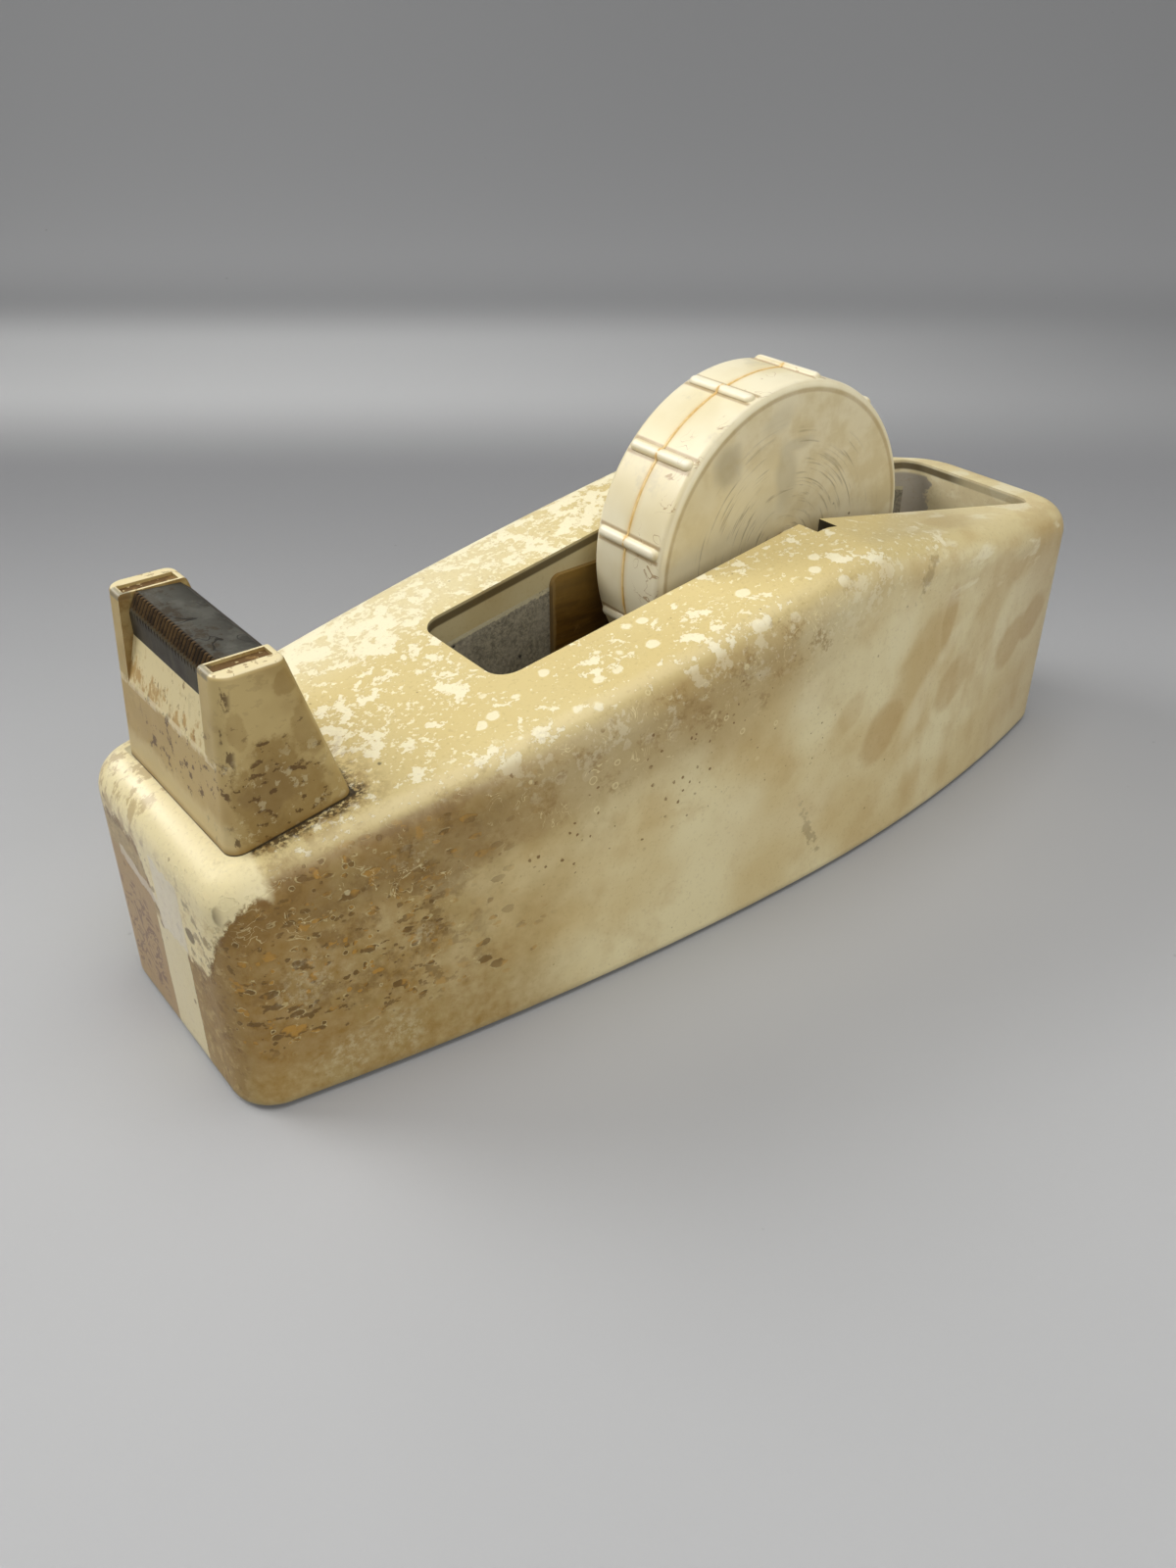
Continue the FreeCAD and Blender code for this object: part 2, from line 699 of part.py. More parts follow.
def ear_slots():
    """The long shallow recess in the top of each ear, nearer to the blade than to the outside."""
    length, width, depth, blade_rim = 10.4, 3.2, 0.6, 0.5
    middle_x = (S["post_top_front_x"] + S["post_top_rear_x"]) / 2
    middle_y = S["post_half_width"] - S["ear_width"] + blade_rim + width / 2
    made = []
    for i, side in enumerate((-1, 1), start=1):
        low_y = side * middle_y - width / 2
        made.append(box(f"EarSlot{i}", (middle_x - length / 2, low_y, S["post_top"] - depth),
                        (middle_x + length / 2, low_y + width, S["post_top"] + 1)))
    return made


def tooth_comb():
    """A comb whose V-shaped teeth cut the blade's serration along its bevel."""
    body = new_body("ToothComb")
    reach = S["post_half_width"] - S["ear_width"]
    pitch, depth, run = S["tooth_pitch"], 0.65, 6.0
    slab = sketch(body, "CombSlab", "XY_Plane",
                  [(-3, -reach - 1), (0, -reach - 1), (0, reach + 1), (-3, reach + 1)])
    pad(body, slab, run)
    count = int(2 * reach.value / pitch.value) + 1
    first = pitch * (-(count - 1) / 2)
    tooth_outline = sketch(body, "CombTooth", "XY_Plane",
                           [(-0.5, first - pitch * 0.48), (0, first - pitch * 0.48), (depth, first),
                            (0, first + pitch * 0.48), (-0.5, first + pitch * 0.48)])
    tooth = pad(body, tooth_outline, run)
    row = body.newObject("PartDesign::LinearPattern", "CombTeeth")
    row.Originals = [tooth]
    row.Direction = (plane_of(body, "Y_Axis"), [""])
    row.Length = pitch.value * (count - 1)
    row.Occurrences = count
    body.Tip = row
    lean = math.atan2(BEVEL_TOP_X - BLADE_FRONT_X, S["post_top"].value - 0.1 - BEVEL_FOOT)
    body.Placement.Rotation = FreeCAD.Rotation(V(0, 1, 0), math.degrees(lean))
    return place(body, BLADE_FRONT_X - math.sin(lean) * 1.5, 0, BEVEL_FOOT - math.cos(lean) * 1.5)


def blade():
    """The folded steel blade: front strip, serrated bevel, landing and rear flange."""
    body = new_body("BladeSheet")
    outline = blade_line(size(0)) + list(reversed(blade_line(S["blade_gauge"])))
    sk = sketch(body, "BladeSection", "XZ_Plane", outline)
    reach = S["post_half_width"] - S["ear_width"] - 0.02
    pad(body, sk, reach * 2, Midplane=True)
    return cut("CutterBlade", body, tooth_comb(), *blade_screws("BladeScrewRoom", SCREW_GAP))


REAR_LEAN = math.atan2(DRIVING["post_rear_x"] - DRIVING["post_top_rear_x"],
                       DRIVING["post_top"] - roof(S["post_rear_x"]).value)
REAR_NORMAL = V(math.cos(REAR_LEAN), 0, math.sin(REAR_LEAN))
BLADE_SCREW_HEIGHT = 78.5
BLADE_SCREW_Y = 9.0
BLADE_SCREW_RADIUS = 1.2
BLADE_SCREW_LENGTH = 6.0
BLADE_HEAD_RADIUS = 2.3
BLADE_HEAD_HEIGHT = 1.1


def blade_screws(name, gap):
    """The two small screws that hold the blade's rear flange to the post."""
    x = post_face("rear", size(BLADE_SCREW_HEIGHT))
    made = []
    for i, y in enumerate((-BLADE_SCREW_Y, BLADE_SCREW_Y), start=1):
        seat = (x, y, BLADE_SCREW_HEIGHT)
        head = cylinder(f"{name}Head{i}", BLADE_HEAD_RADIUS, BLADE_HEAD_HEIGHT, seat, REAR_NORMAL)
        shank = cylinder(f"{name}Shank{i}", BLADE_SCREW_RADIUS + gap, BLADE_SCREW_LENGTH + gap,
                         seat, -REAR_NORMAL)
        made.append(shank if gap else fuse(f"{name}{i}", head, shank))
        if gap:
            DOC.removeObject(head.Name)
    return made


def build_post(parts):
    """Cutter post, blade and the screws that hold them."""
    threads = post_screws("PostThread", SCREW_GAP) + blade_screws("BladeThread", SCREW_GAP)
    parts["cutter_post"] = cut("CutterPost", post_body(), post_cavity(), *ear_slots(), *threads)
    parts["cutter_blade"] = blade()
    parts["blade_screws"] = group("BladeScrews", *blade_screws("BladeScrew", 0))
    parts["post_screws"] = group("PostScrews", *post_screws("PostScrew", 0))
    parts["post_washers"] = group("PostWashers", *post_washers("PostWasher", 0))


# ---------------------------------------------------------------- build, check and write

def check_document(parts):
    """Stops on any failed object or bad shape."""
    DOC.recompute()
    for obj in DOC.Objects:
        if "Invalid" in obj.State or "Error" in obj.State:
            raise ValueError(f"{obj.Name} failed: {obj.State}")
    for label, obj in parts.items():
        if obj.Shape.isNull() or not obj.Shape.isValid() or not obj.Shape.Solids:
            raise ValueError(f"{label} has no valid solid")
        obj.Label = label
        print(f"{label}: {len(obj.Shape.Solids)} solid(s), {obj.Shape.Volume / 1000:.2f} cm3")


def write_parts(parts):
    os.makedirs("parts", exist_ok=True)
    for label, obj in parts.items():
        obj.Shape.exportStep(f"parts/{label}.step")


def main():
    parts = {}
    build_body(parts)
    build_guides(parts)
    build_post(parts)
    build_hub(parts)
    check_document(parts)
    write_parts(parts)


main()
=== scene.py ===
"""Looks of the aged desk tape dispenser: its materials, the pieces that only show, floor, lights and camera.

Frame: metres, +Z up, -X towards the nose and its cutter, -Y the left side. Patterns are laid out in
millimetres in the same frame.
"""

import bmesh
import bpy
import math
from mathutils import Matrix, Vector, noise


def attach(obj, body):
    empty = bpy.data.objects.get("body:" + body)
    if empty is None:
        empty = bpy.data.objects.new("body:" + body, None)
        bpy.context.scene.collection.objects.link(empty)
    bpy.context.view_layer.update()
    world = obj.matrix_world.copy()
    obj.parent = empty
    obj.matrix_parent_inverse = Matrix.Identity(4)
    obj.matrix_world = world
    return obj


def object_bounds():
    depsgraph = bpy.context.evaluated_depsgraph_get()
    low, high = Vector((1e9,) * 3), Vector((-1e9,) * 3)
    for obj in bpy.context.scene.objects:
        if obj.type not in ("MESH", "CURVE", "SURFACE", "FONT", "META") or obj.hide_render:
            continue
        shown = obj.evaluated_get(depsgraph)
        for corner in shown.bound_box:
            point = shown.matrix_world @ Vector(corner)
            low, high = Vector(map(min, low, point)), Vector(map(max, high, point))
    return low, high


MM = 0.001

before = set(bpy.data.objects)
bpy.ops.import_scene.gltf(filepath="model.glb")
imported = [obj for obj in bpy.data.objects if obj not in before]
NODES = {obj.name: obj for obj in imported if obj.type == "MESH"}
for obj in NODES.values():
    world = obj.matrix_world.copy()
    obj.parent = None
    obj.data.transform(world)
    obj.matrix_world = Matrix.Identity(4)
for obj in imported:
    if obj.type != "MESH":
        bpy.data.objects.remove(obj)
CAD_BOX = [list(corner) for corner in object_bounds()]


# ---------------------------------------------------------------- node graphs

def linear(code):
    """Scene-linear colour of an sRGB code such as "e8ddb0"."""
    channels = [int(code[i:i + 2], 16) / 255 for i in (0, 2, 4)]
    bright = [c / 12.92 if c <= 0.04045 else ((c + 0.055) / 1.055) ** 2.4 for c in channels]
    return (*bright, 1.0)


class Wire:
    """One node output. Arithmetic on it adds Math nodes to its graph."""

    def __init__(self, graph, socket):
        self.graph = graph
        self.socket = socket

    def __add__(self, other):
        return self.graph.math("ADD", self, other)

    def __sub__(self, other):
        return self.graph.math("SUBTRACT", self, other)

    def __rsub__(self, other):
        return self.graph.math("SUBTRACT", other, self)

    def __mul__(self, other):
        return self.graph.math("MULTIPLY", self, other)

    def __truediv__(self, other):
        return self.graph.math("DIVIDE", self, other)

    def __pow__(self, other):
        return self.graph.math("POWER", self, other)

    __radd__ = __add__
    __rmul__ = __mul__

    def size(self):
        """The absolute value."""
        return self.graph.math("ABSOLUTE", self)

    def most(self, other):
        return self.graph.math("MAXIMUM", self, other)

    def least(self, other):
        return self.graph.math("MINIMUM", self, other)

    def rise(self, low, high):
        """0 below low, 1 above high and a smooth step between; low above high makes it fall."""
        return self.graph.rise(self, low, high)

    def band(self, low, high, soft):
        """1 between low and high, fading over soft at both ends."""
        return self.rise(low - soft, low) * self.rise(high + soft, high)


class Graph:
    """The node tree of one material, with short names for the nodes that patterns are made of."""

    def __init__(self, name):
        self.material = bpy.data.materials.new(name)
        self.material.use_nodes = True
        self.tree = self.material.node_tree
        self.tree.nodes.clear()
        source = self.add("ShaderNodeTexCoord")
        scaled = self.add("ShaderNodeVectorMath", operation="SCALE")
        self.tree.links.new(source.outputs["Object"], scaled.inputs[0])
        scaled.inputs["Scale"].default_value = 1 / MM
        self.place = Wire(self, scaled.outputs[0])
        self.x, self.y, self.z = self.split(self.place)
        self.facing = self.split(Wire(self, source.outputs["Normal"]))
        self.up = self.facing[2]

    def add(self, kind, inputs=None, **settings):
        """A node with its settings and inputs."""
        node = self.tree.nodes.new(kind)
        for key, value in settings.items():
            setattr(node, key, value)
        for key, value in (inputs or {}).items():
            self.feed(node.inputs[key], value)
        return node

    def feed(self, target, value):
        if isinstance(value, Wire):
            self.tree.links.new(value.socket, target)
        else:
            target.default_value = linear(value) if isinstance(value, str) else value

    def math(self, operation, first, second=None):
        node = self.add("ShaderNodeMath", operation=operation)
        self.feed(node.inputs[0], first)
        if second is not None:
            self.feed(node.inputs[1], second)
        return Wire(self, node.outputs[0])

    def split(self, vector):
        node = self.add("ShaderNodeSeparateXYZ", {"Vector": vector})
        return [Wire(self, out) for out in node.outputs]

    def join(self, x, y, z):
        return Wire(self, self.add("ShaderNodeCombineXYZ", {"X": x, "Y": y, "Z": z}).outputs[0])

    def rise(self, value, low, high):
        node = self.add("ShaderNodeMapRange", {"Value": value, "From Min": low, "From Max": high},
                        interpolation_type="SMOOTHSTEP")
        return Wire(self, node.outputs[0])

    def spot_at(self, seed, stretch, at=None):
        """The surface point moved by seed and squeezed so that patterns come out stretched."""
        node = self.add("ShaderNodeMapping", {"Vector": at or self.place})
        node.inputs["Location"].default_value = (seed * 13.7, seed * -7.9, seed * 5.3)
        node.inputs["Scale"].default_value = tuple(1 / s for s in stretch)
        return Wire(self, node.outputs[0])

    def noise(self, size, detail=4.0, rough=0.55, seed=0, stretch=(1, 1, 1), warp=0.0, at=None):
        """Fractal noise from 0 to 1 with lumps of about size millimetres."""
        node = self.add("ShaderNodeTexNoise", {
            "Vector": self.spot_at(seed, stretch, at), "Scale": 1 / size, "Detail": detail,
            "Roughness": rough, "Distortion": warp})
        return Wire(self, node.outputs[0])

    def threads(self, size, width, seed, warp):
        """Thin wandering lines, where a noise passes its middle value."""
        away = (self.noise(size, 2.0, 0.5, seed, warp=warp) - 0.5).size()
        return away.rise(width, width * 0.35)

    def spots(self, size, share, seed=0, stretch=(1, 1, 1), small=0.08, large=0.36, ragged=0.12, soft=0.05):
        """Spots in a share of the cells of this size: (inside, ring just at their edge)."""
        cell = self.add("ShaderNodeTexVoronoi", {"Vector": self.spot_at(seed, stretch), "Scale": 1 / size})
        chance, reach, _ = self.split(Wire(self, cell.outputs["Color"]))
        wobble = (self.noise(size * 0.45, 3, 0.6, seed + 1, stretch) - 0.5) * (ragged * 2)
        away = Wire(self, cell.outputs["Distance"]) + wobble
        edge = reach * (large - small) + small - away
        live = chance.rise(share, share - 0.01)
        return edge.rise(0.0, soft) * live, edge.size().rise(soft * 1.6, soft * 0.6) * live

    def blend(self, mask, under, over):
        """The colour over laid on the colour under where mask is 1."""
        node = self.add("ShaderNodeMix", data_type="RGBA")
        self.feed(node.inputs[0], mask)
        self.feed(node.inputs[6], under)
        self.feed(node.inputs[7], over)
        return Wire(self, node.outputs[2])

    def finish(self, colour, rough, height=None, depth=0.1, metal=0.0, specular=0.5, coat=0.0):
        """Ends the graph in a Principled shader. depth is the relief in millimetres for a height of 1."""
        inputs = {"Base Color": colour, "Roughness": rough, "Metallic": metal,
                  "Specular IOR Level": specular, "Coat Weight": coat}
        if height is not None:
            relief = self.add("ShaderNodeBump", {"Height": height, "Strength": 1.0, "Distance": depth * MM})
            inputs["Normal"] = Wire(self, relief.outputs[0])
        shader = self.add("ShaderNodeBsdfPrincipled", inputs)
        out = self.add("ShaderNodeOutputMaterial")
        self.tree.links.new(shader.outputs[0], out.inputs["Surface"])
        return self.material


# ---------------------------------------------------------------- colours

IVORY = "f8efcc"
CREAM = "e9dbab"
TAN = "d8c28a"
OCHRE = "bb9650"
BROWN = "8f6d30"
PIT = "b5862f"
DARK = "43300f"
RUST = "6e4526"
PAPER = "dfd5c0"


def blot(u, v, at, reach, turn=0.0, wobble=0.0, soft=0.12):
    """An uneven oval patch in the u-v plane. turn is its tilt in degrees from u towards v."""
    a = math.radians(turn)
    du, dv = u - at[0], v - at[1]
    along = (du * math.cos(a) + dv * math.sin(a)) / reach[0]
    across = (dv * math.cos(a) - du * math.sin(a)) / reach[1]
    away = (along * along + across * across) ** 0.5 + wobble
    return away.rise(1.0 + soft, 1.0 - soft)


def blots(u, v, table, wobble, soft):
    """The strongest of several patches, each given as place, reach, turn and strength."""
    whole = None
    for at, reach, turn, strength in table:
        one = blot(u, v, at, reach, turn, wobble, soft) * strength
        whole = one if whole is None else whole.most(one)
    return whole


# ---------------------------------------------------------------- body paint

RIDGE_X, RIDGE_Z = 26.4, 77.4
FRONT_SLOPE, REAR_SLOPE = 0.172, 0.181
POST_MIDDLE_X, POST_HALF_LENGTH, POST_HALF_WIDTH = -102.7, 12.0, 23.1
WELL_FRONT_X, WELL_REAR_X = -53.4, 107.6
AXLE_X, AXLE_Z = 27.0, 68.2
NOTCH_HALF_WIDTH = 4.2

# dried runs on the left side of the tail: (x, z), (half length, half width), tilt, strength
RUNS = (
    ((33.5, 32.0), (8.6, 6.0), 50, 1.00),
    ((46.0, 47.0), (16.0, 6.6), 48, 0.50),
    ((54.6, 53.5), (2.9, 8.5), -6, 0.95),
    ((61.0, 34.5), (8.4, 5.6), 30, 0.80),
    ((71.5, 44.5), (16.5, 7.0), 50, 0.46),
    ((84.0, 55.5), (8.0, 3.6), 10, 0.45),
    ((74.5, 26.5), (5.0, 4.2), 60, 0.25),
    ((90.0, 34.0), (8.2, 6.0), 28, 1.00),
    ((101.5, 36.5), (8.0, 5.2), 24, 1.15),
    ((21.0, 41.5), (4.6, 3.4), 45, 0.40),
)
# paler ground between them
WASHED = (
    ((47.5, 34.0), (10.0, 3.4), 62, 0.80),
    ((56.5, 45.5), (6.0, 2.4), 42, 0.80),
    ((80.5, 37.0), (9.0, 3.2), 62, 0.60),
    ((97.0, 49.0), (11.0, 5.0), 8, 0.75),
    ((7.5, 50.0), (3.6, 4.6), -12, 0.60),
    ((-11.0, 27.0), (7.0, 9.0), 0, 0.45),
    ((8.0, 22.0), (10.0, 6.0), 0, 0.40),
    ((92.0, 12.0), (9.0, 8.0), 0, 0.40),
    ((36.0, 56.0), (5.0, 8.0), -20, 0.45),
)
# whitish scuffs on the left side of the nose
SCUFFS = (
    ((-102.5, 8.0), (6.0, 4.2), 20, 1.0),
    ((-91.5, 8.5), (4.6, 5.2), -30, 1.0),
    ((-85.5, 30.0), (3.0, 2.2), 0, 0.9),
    ((-108.0, 28.0), (5.5, 5.0), 30, 0.8),
    ((-86.5, 49.0), (5.0, 3.4), 20, 0.7),
    ((-48.0, 57.0), (4.0, 2.4), 40, 0.8),
    ((-8.0, 62.5), (3.4, 2.8), 0, 0.9),
)
# dark chips on the end of the nose, in (y, z)
NOSE_CHIPS = (
    ((-14.5, 35.0), (1.9, 1.5), 0, 1.0),
    ((-27.0, 46.0), (1.5, 2.2), 0, 1.0),
)


def roof_height(g):
    """Height of the roof's two slopes above the surface point's place along the body."""
    ahead = (RIDGE_X - g.x).most(0.0)
    behind = (g.x - RIDGE_X).most(0.0)
    return RIDGE_Z - ahead * FRONT_SLOPE - behind * REAR_SLOPE


def paint_film(g, top, side):
    """Yellowed enamel: cream, with a tan film on the roof and clouds of tan on the sides."""
    clouds = g.noise(34, 3, 0.5, seed=1)
    patches = g.noise(13, 5, 0.6, seed=2)
    colour = g.blend(clouds.rise(0.40, 0.66), CREAM, TAN)
    colour = g.blend(top * 0.85, colour, "d8c385")
    colour = g.blend(patches.rise(0.46, 0.70) * side * 0.30, colour, OCHRE)
    dusky = g.z.rise(38, 54) * g.x.rise(40, -30) * side * g.y.rise(0, -10)
    colour = g.blend(dusky * (0.15 + patches * 0.5), colour, BROWN)
    dots, _ = g.spots(2.7, 0.16, seed=36, small=0.03, large=0.13, ragged=0.12)
    return g.blend(dots * 0.6, colour, "7c5c24")


def roof_flecks(g, colour, top, grit):
    """Pale flecks where the film has come off: ragged and close on the far side, rounder on the near rail."""
    x, y, z = g.x, g.y, g.z
    far = y.rise(6, 24)
    tail = x.rise(36, 84)
    clump = (g.noise(13, 3, 0.5, seed=5) - 0.5) * 0.34
    crowd = x.band(-88, -60, 12) * y.rise(-27, -18) * 0.030 + far * 0.080 - tail * 0.045 + clump
    crowd = crowd + x.band(-16, 26, 8) * y.rise(-17, -21) * 0.030
    ragged = (g.noise(3.8, 7, 0.62, seed=6) + crowd).rise(0.598, 0.612)
    crumbs = (g.noise(1.3, 5, 0.62, seed=7) + crowd * 0.8).rise(0.612, 0.632)
    round_spot, ring = g.spots(4.8, 0.66, seed=8, small=0.08, large=0.34, ragged=0.14, soft=0.03)
    rail = y.rise(-10, -20) * x.band(-66, 28, 8)
    drop = roof_height(g) - z
    reach = top.most(drop.rise(17, 7) * y.rise(-24, -30) * 0.45)
    pale = ragged.most(crumbs * 0.85).most(round_spot * (0.10 + rail * 0.8))
    pale = pale * reach * (1 - tail * 0.45) * (0.62 + grit * 0.5)
    colour = g.blend(pale, colour, IVORY)
    colour = g.blend(ring * rail * top * 0.4, colour, CREAM)
    glare = top * far * x.rise(10, -40) * 0.35
    return g.blend(glare, colour, IVORY), pale


def shoulder_wear(g, colour, side, grit):
    """Brown smut, pale curly scratches and specks along the left shoulder."""
    drop = roof_height(g) - g.z
    left = g.y.rise(-18, -26)
    belt = drop.band(3.5, 17, 4) * left * g.x.band(-112, 12, 12)
    smut = g.noise(7, 6, 0.70, seed=11).rise(0.49, 0.62) * g.noise(0.9, 3, 0.6, seed=12).rise(0.36, 0.60)
    colour = g.blend(belt * (0.18 + smut * 0.55), colour, "94743a")
    curls = g.threads(4.6, 0.014, seed=13, warp=1.8) * g.noise(6, 2, 0.5, seed=14).rise(0.50, 0.60)
    colour = g.blend(curls * belt * 0.6, colour, "ecdda8")
    _, ring = g.spots(4.6, 0.26, seed=15, small=0.07, large=0.17, ragged=0.10, soft=0.030)
    ringed = (belt + side * left * g.x.band(-110, 0, 8) * g.z.rise(36, 44)).least(1.0)
    colour = g.blend(ring * ringed * 0.55, colour, "eadba6")
    specks, _ = g.spots(1.8, 0.72, seed=16, small=0.03, large=0.30, ragged=0.26)
    clumps = g.noise(9, 2, 0.5, seed=17).rise(0.42, 0.52)
    zone = g.x.band(-66, 12, 8) * side * left * g.z.band(33, 61, 5) * clumps
    colour = g.blend(specks * zone * 0.85, colour, "775318")
    broken = (g.noise(1.6, 4, 0.6, seed=18) - 0.5) * 5.0 + (grit - 0.5)
    streak = blot(g.x, g.z, (11.0, 15.0), (6.0, 1.2), -66, broken, 0.3) * side * left
    return g.blend(streak * 0.4, colour, "6f5528")


def nose_grime(g, colour, side, fine, grit):
    """Brown grime on the left side of the nose, its orange pits and whitish scuffs."""
    x, y, z = g.x, g.y, g.z
    wander = (g.noise(24, 4, 0.6, seed=21) - 0.5) * 80
    left = side * y.rise(0, -16)
    grime = (x + wander).rise(-30, -96) * left * z.rise(66, 52) * (0.45 + fine * 0.8)
    colour = g.blend(grime * 0.95, colour, "997424")
    waver = x + wander * 0.4
    brow = z.band(44, 56, 5) * left * waver.rise(-52, -72)
    colour = g.blend(brow * (0.25 + fine * 0.4), colour, "75551c")
    bloom = g.noise(11, 6, 0.66, seed=22).rise(0.50, 0.60) * grime
    colour = g.blend(bloom * 0.45, colour, "b39d63")
    murk = g.noise(7, 6, 0.70, seed=20).rise(0.48, 0.60) * waver.rise(-58, -84)
    murk = murk * left * z.band(22, 58, 6)
    colour = g.blend(murk * (0.30 + grit * 0.45), colour, "6b4c12")
    deep = waver.rise(-84, -118) * left * z.band(14, 44, 8)
    colour = g.blend(deep * 0.45, colour, "8c6416")
    zone = (waver.rise(-50, -84) * left * z.band(17, 55, 6)).least(1.0)
    thick = zone * x.rise(-64, -100)
    pit, pit_ring = g.spots(2.9, 0.85, seed=23, stretch=(1.5, 1, 0.8), small=0.06, large=0.44, ragged=0.28)
    small_pit, small_ring = g.spots(1.5, 0.50, seed=24, small=0.10, large=0.42, ragged=0.24)
    big_pit = g.noise(3.0, 5, 0.55, seed=25, stretch=(1.5, 1, 0.8)).rise(0.585, 0.605)
    rims = (pit_ring * zone).most(small_ring * thick)
    pits = (pit * zone).most(small_pit * thick).most(big_pit * thick)
    colour = g.blend(rims * g.noise(3, 2, 0.5, seed=26).rise(0.50, 0.60) * 0.55, colour, "dccb93")
    tone = g.blend(g.noise(3.4, 2, 0.5, seed=27).rise(0.44, 0.54), PIT, "6b4c0e")
    colour = g.blend(pits * 0.88, colour, tone)
    scuffed = blots(x, z, SCUFFS, (g.noise(4, 5, 0.7, seed=28) - 0.5) * 2.6, 0.5)
    scuffed = scuffed * g.noise(1.3, 5, 0.7, seed=29).rise(0.44, 0.64) * y.rise(0, -16)
    colour = g.blend(scuffed * 0.42, colour, "d9cda6")
    return colour, grime, pits, rims


def tail_runs(g, colour, side, top, fine):
    """Runs of dried liquid on the left of the tail, with paler ground beside them."""
    x, z = g.x, g.z
    left = side * g.y.rise(-2, -10)
    wobble = (g.noise(8, 4, 0.5, seed=31) - 0.5) * 0.75
    pale = blots(x, z, WASHED, wobble, 0.45) * left
    colour = g.blend(pale * 0.62, colour, "ecdfb4")
    runs = blots(x, z, RUNS, wobble, 0.24) * left
    colour = g.blend(runs * (0.40 + fine * 0.20), colour, "b48d46")
    colour = g.blend(x.rise(72, 112) * left * 0.42, colour, "b08f55")
    slant = g.noise(15, 3, 0.5, seed=32, stretch=(0.6, 1, 1.5)).rise(0.48, 0.68)
    colour = g.blend(slant * side * x.rise(10, 50) * 0.26, colour, OCHRE)
    cloud = g.noise(12, 4, 0.55, seed=33, stretch=(1.8, 1, 0.8)).rise(0.47, 0.60)
    crown = top.most((roof_height(g) - z).rise(18, 10)) * x.rise(34, 60)
    colour = g.blend(top * x.rise(36, 76) * 0.5, colour, "efdfaf")
    colour = g.blend(cloud * crown * 0.30, colour, "c09c5c")
    cream = g.noise(7, 4, 0.55, seed=34, stretch=(2.6, 1, 0.8)).rise(0.55, 0.64)
    colour = g.blend(cream * crown * 0.55, colour, IVORY)
    broken = (g.noise(2.4, 5, 0.65, seed=35) - 0.5) * 4.5
    smudge = blot(x, z, (43.5, 67.5), (4.2, 1.8), 50, broken, 0.4) * g.y.rise(-10, -20)
    return g.blend(smudge * 0.42, colour, "86692f"), runs


def foot_dirt(g, colour, top, grit):
    """Dirt gathered round the cutter post's foot."""
    x, y = g.x, g.y
    dx = ((x - POST_MIDDLE_X).size() - POST_HALF_LENGTH).most(0.0)
    dy = (y.size() - POST_HALF_WIDTH).most(0.0)
    away = (dx * dx + dy * dy) ** 0.5
    near = away.rise(9.0, 0.5) * top * y.rise(10, -16)
    colour = g.blend(near * g.noise(2.6, 6, 0.74, seed=41).rise(0.40, 0.60) * 0.8, colour, BROWN)
    soot = (g.noise(5, 5, 0.65, seed=42) - 0.5) * 9 + away
    colour = g.blend(soot.rise(3.4, 0.6) * top * grit.rise(0.40, 0.55) * y.rise(-8, -20) * 0.9, colour, DARK)
    crumbs, _ = g.spots(7, 0.34, seed=43, small=0.03, large=0.11, ragged=0.14)
    colour = g.blend(crumbs * away.rise(16, 4) * top * 0.9, colour, "35270f")
    return g.blend(away.rise(0.55, 0.15) * top * 0.85, colour, "2b200d"), near


